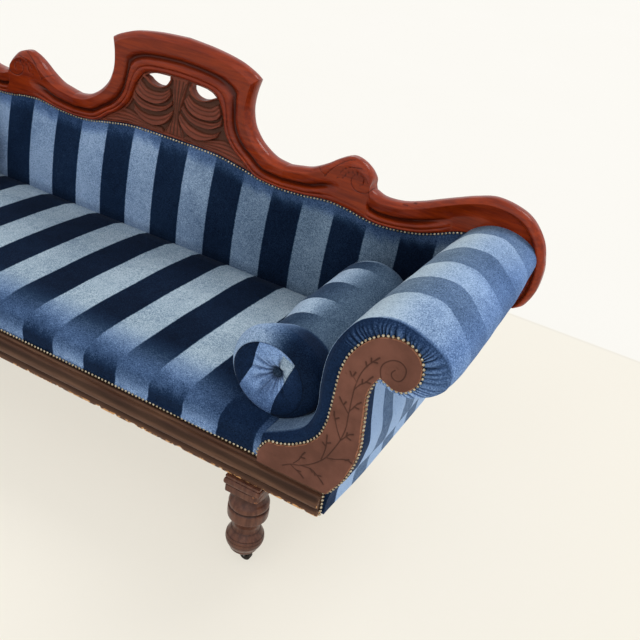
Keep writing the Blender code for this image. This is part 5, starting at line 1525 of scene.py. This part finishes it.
def make_button(name, x, y, toward, body, z):
    """A covered button, domed and a little dimpled."""
    rows = smooth([(0.0004, 0.0052), (0.0035, 0.0056), (0.0070, 0.0050), (0.0098, 0.0034), (0.0108, 0.0018),
                   (0.0100, 0.0004), (0.0060, 0.0003), (0.0004, 0.0003)], 3)
    angle = 2 * math.pi * np.arange(28) / 28
    rings = np.stack([x + rows[:, :1] * np.cos(angle), np.repeat(y + toward * rows[:, 1:], 28, 1),
                      z + rows[:, :1] * np.sin(angle)], -1)
    made = tube(f"{name}_covered", rings, velvet)
    # The button is painted dark: painted shade in the hollow of the gathered end
    marks(made, np.zeros(rings.shape[:2]), colours(np.full(rings.shape[:2], 0.3), 0.3, 0.8, 0.5))
    stands_for(made, body, "striped_velvet", name)


for word, made in (("right", right_bolster), ("left", mirrored(right_bolster, "bolster_stuffed_left"))):
    stands_for(made, f"bolster_{word}_body", "striped_velvet", f"bolster_{word}")
    seat_in = 0.16 * bolster_radius + 0.006
    spare = bolster_radius - tube_radii[-1][1]
    for end, y, toward in (("front", bolster_front + seat_in, -1),
                           ("rear", bolster_front + bolster_length - seat_in, 1)):
        slip = spare if end == "rear" else 0.0
        make_button(f"bolster_button_{end}_{word}", sides[word] * (bolster_x + slip), y, toward,
                    f"bolster_{word}_body", bolster_z - slip)

# %% [markdown]
# The rear and the underside are closed with plain cloth: a drawn panel behind the back, and a thin cover that
# sags a little under the springs.
# %% Outside back and dust cover


def make_outside_back():
    lap = nail_edge + (0.0, 0.012)
    rear = arm_point(outer_line_shares, 1.0) - (0.0028, 0.0)
    rear[-1, 1] = frame_top + gap
    right = np.vstack([lap[::6], rear])
    outline = np.vstack([right, (right * (-1, 1))[:0:-1]])
    near = post_thickness + gap
    made = board("outside_back_cloth", [outline], lambda p: lean(p[:, 1]) + near,
                 lambda p: lean(p[:, 1]) + near + 0.002 + 0.0012 * np.cos(p[:, 0] * 2) ** 2, lining, 0.012,
                 lambda p, from_edge: (0.0 * from_edge, {}))
    stands_for(made, "settee", "plain_cloth", "outside_back")


def make_dust_cover():
    low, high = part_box("dust_cover")
    x, y = np.linspace(low[0], high[0], 61), np.linspace(low[1], high[1], 25)
    across, deep = np.meshgrid(x, y, indexing="ij")
    sag = (np.sin(math.pi * (across - low[0]) / (high[0] - low[0]))
           * np.sin(math.pi * (deep - low[1]) / (high[1] - low[1])))
    top = np.stack([across, deep, high[2] - 0.006 * sag ** 0.7], -1)
    under = top - (0, 0, high[2] - low[2])
    rings = np.concatenate([top, under[:, ::-1]], 1)
    made = tube("dust_cover_drawn", rings, hessian)
    stands_for(made, "settee", "plain_cloth", "dust_cover")


make_outside_back()
make_dust_cover()

# %% [markdown]
# Brass nails run along every edge of the velvet. A Geometry Nodes tree turns a path into evenly spaced heads:
# it resamples the path by length, turns a domed head to face the way the path says, and gives it the metal.
# %% Nail tree
# Faces round and up each head
head_segments, head_rings = 10, 6


def nail_tree():
    tree = bpy.data.node_groups.new("nail_row", "GeometryNodeTree")
    for name, kind, way in (("Path", "NodeSocketGeometry", "INPUT"), ("Spacing", "NodeSocketFloat", "INPUT"),
                            ("Head radius", "NodeSocketFloat", "INPUT"), ("Metal", "NodeSocketMaterial", "INPUT"),
                            ("Nails", "NodeSocketGeometry", "OUTPUT")):
        tree.interface.new_socket(name, in_out=way, socket_type=kind)

    def add(kind, settings=None, **links):
        node = tree.nodes.new(kind)
        for word, setting in (settings or {}).items():
            setattr(node, word, setting)
        for word, given in links.items():
            socket = node.inputs[word.replace("_", " ")]
            if hasattr(given, "is_output"):
                tree.links.new(given, socket)
            else:
                socket.default_value = given
        return node.outputs[0]

    given = tree.nodes.new("NodeGroupInput").outputs
    curve = add("GeometryNodeMeshToCurve", Mesh=given["Path"])
    spaced = add("GeometryNodeResampleCurve", {"mode": "LENGTH"}, Curve=curve, Length=given["Spacing"])
    ball = add("GeometryNodeMeshUVSphere", Segments=head_segments, Rings=head_rings, Radius=1.0)
    low = add("GeometryNodeTransform", Geometry=ball, Scale=(1.0, 1.0, 0.62))
    way = add("GeometryNodeInputNamedAttribute", {"data_type": "FLOAT_VECTOR"}, Name="facing")
    turn = add("FunctionNodeAlignRotationToVector", {"axis": "Z"}, Vector=way)
    heads = add("GeometryNodeInstanceOnPoints", Points=spaced, Instance=low, Rotation=turn,
                Scale=given["Head radius"])
    real = add("GeometryNodeRealizeInstances", Geometry=heads)
    done = add("GeometryNodeSetMaterial", Geometry=real, Material=given["Metal"])
    tree.links.new(done, tree.nodes.new("NodeGroupOutput").inputs["Nails"])
    return tree


print("each nail head has", head_segments * head_rings, "faces")

# %% [markdown]
# The paths follow the foot of the seat's border, the lower edge of the show-wood, and both edges of each plaque's
# cloth down to the rail. Heads set one by one would drift out of step on a curve; along a path they keep their
# distance. The tree's result is made a plain mesh.
# %% Nail rows
nail_spacing, nail_radius = 0.0093, 0.0032


def outward(line):
    """The way square to a line at each of its points, to its left."""
    along = np.gradient(line, axis=0)
    return np.column_stack([-along[:, 1], along[:, 0]]) / np.linalg.norm(along, axis=1, keepdims=True)


def nail_paths():
    """Each path's points and the way its nails face."""
    xs = np.linspace(-1, 1, 80) * (seat_end - 0.004)
    front = np.array([(x, front_y - 0.0016, frame_top + 0.0046) for x in xs])
    yield front, np.tile((0.0, -1.0, 0.12), (len(front), 1))
    edge = nail_edge[nail_edge[:, 0] < 0.82][::3] - (0.0, 0.0042)
    edge = np.vstack([(edge * (-1, 1))[:0:-1], edge])
    back = np.column_stack([edge[:, 0], lean(edge[:, 1]) - 0.0016, edge[:, 1]])
    yield back, np.tile((0.0, -1.0, back_lean), (len(back), 1))
    for side in sides.values():
        inner = arm_point(smooth(plaque_inner_shares, 6))[5:]
        out = outward(inner)
        flat = inner + out * 0.0026
        yield (np.column_stack([flat[:, 0] * side, np.full(len(flat), front_y - 0.0085), flat[:, 1]]),
               np.column_stack([out[:, 0] * side * 0.35, np.full(len(flat), -1.0), out[:, 1] * 0.35]))
        outer = arm_point(smooth(plaque_outer_shares, 6))[4:]
        tail = [(frame_end + 0.0032, z) for z in np.linspace(frame_top - 0.004, frame_bottom + 0.006, 12)]
        outer = np.vstack([outer, tail])
        out = outward(outer)
        flat = outer + out * 0.0024 * ease(frame_top - 0.004, frame_top + 0.01, outer[:, 1:])
        yield (np.column_stack([flat[:, 0] * side, np.full(len(flat), front_y - 0.0045), flat[:, 1]]),
               np.column_stack([out[:, 0] * side * 0.8, np.full(len(flat), -0.8), out[:, 1] * 0.8]))


def make_nails():
    points, ties, facing = [], [], []
    for path, ways in nail_paths():
        ties += [(len(points) + k, len(points) + k + 1) for k in range(len(path) - 1)]
        points += path.tolist()
        facing += ways.tolist()
    mesh = bpy.data.meshes.new("nail_paths")
    mesh.from_pydata(points, ties, [])
    layer = mesh.attributes.new("facing", "FLOAT_VECTOR", "POINT")
    layer.data.foreach_set("vector", np.ravel(facing))
    path = bpy.data.objects.new("nail_paths", mesh)
    bpy.context.scene.collection.objects.link(path)
    modifier = path.modifiers.new("nails", "NODES")
    modifier.node_group = nail_tree()
    given = {"Spacing": nail_spacing, "Head radius": nail_radius, "Metal": brass}
    for item in modifier.node_group.interface.items_tree:
        if item.name in given:
            modifier[item.identifier] = given[item.name]
    shown = path.evaluated_get(bpy.context.evaluated_depsgraph_get())
    nails = bpy.data.meshes.new_from_object(shown)
    made = bpy.data.objects.new("nail_rows", nails)
    bpy.context.scene.collection.objects.link(made)
    bpy.data.objects.remove(path)
    nails.shade_smooth()
    print(len(nails.polygons) // (head_segments * head_rings), "nails")
    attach(made, "settee")


make_nails()

# %% [markdown]
# The nodes whose CAD shape is already right, such as the hidden frame, the springs and the casters, stay and
# only get a better material in their slots.
# %% Finishes for the carried-over nodes
node_finishes = {
    "caster_axle": steel, "caster": black_metal, "seat_springs": steel, "webbing": hessian,
    "spring_cloth": hessian, "rear_rail": worn_wood, "back_post": worn_wood, "": frame_wood}
for name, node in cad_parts.items():
    finish = next(finish for start, finish in node_finishes.items() if name.startswith(start))
    for material_slot in node.material_slots:
        material_slot.material = finish
print("finished", len(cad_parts), "nodes")
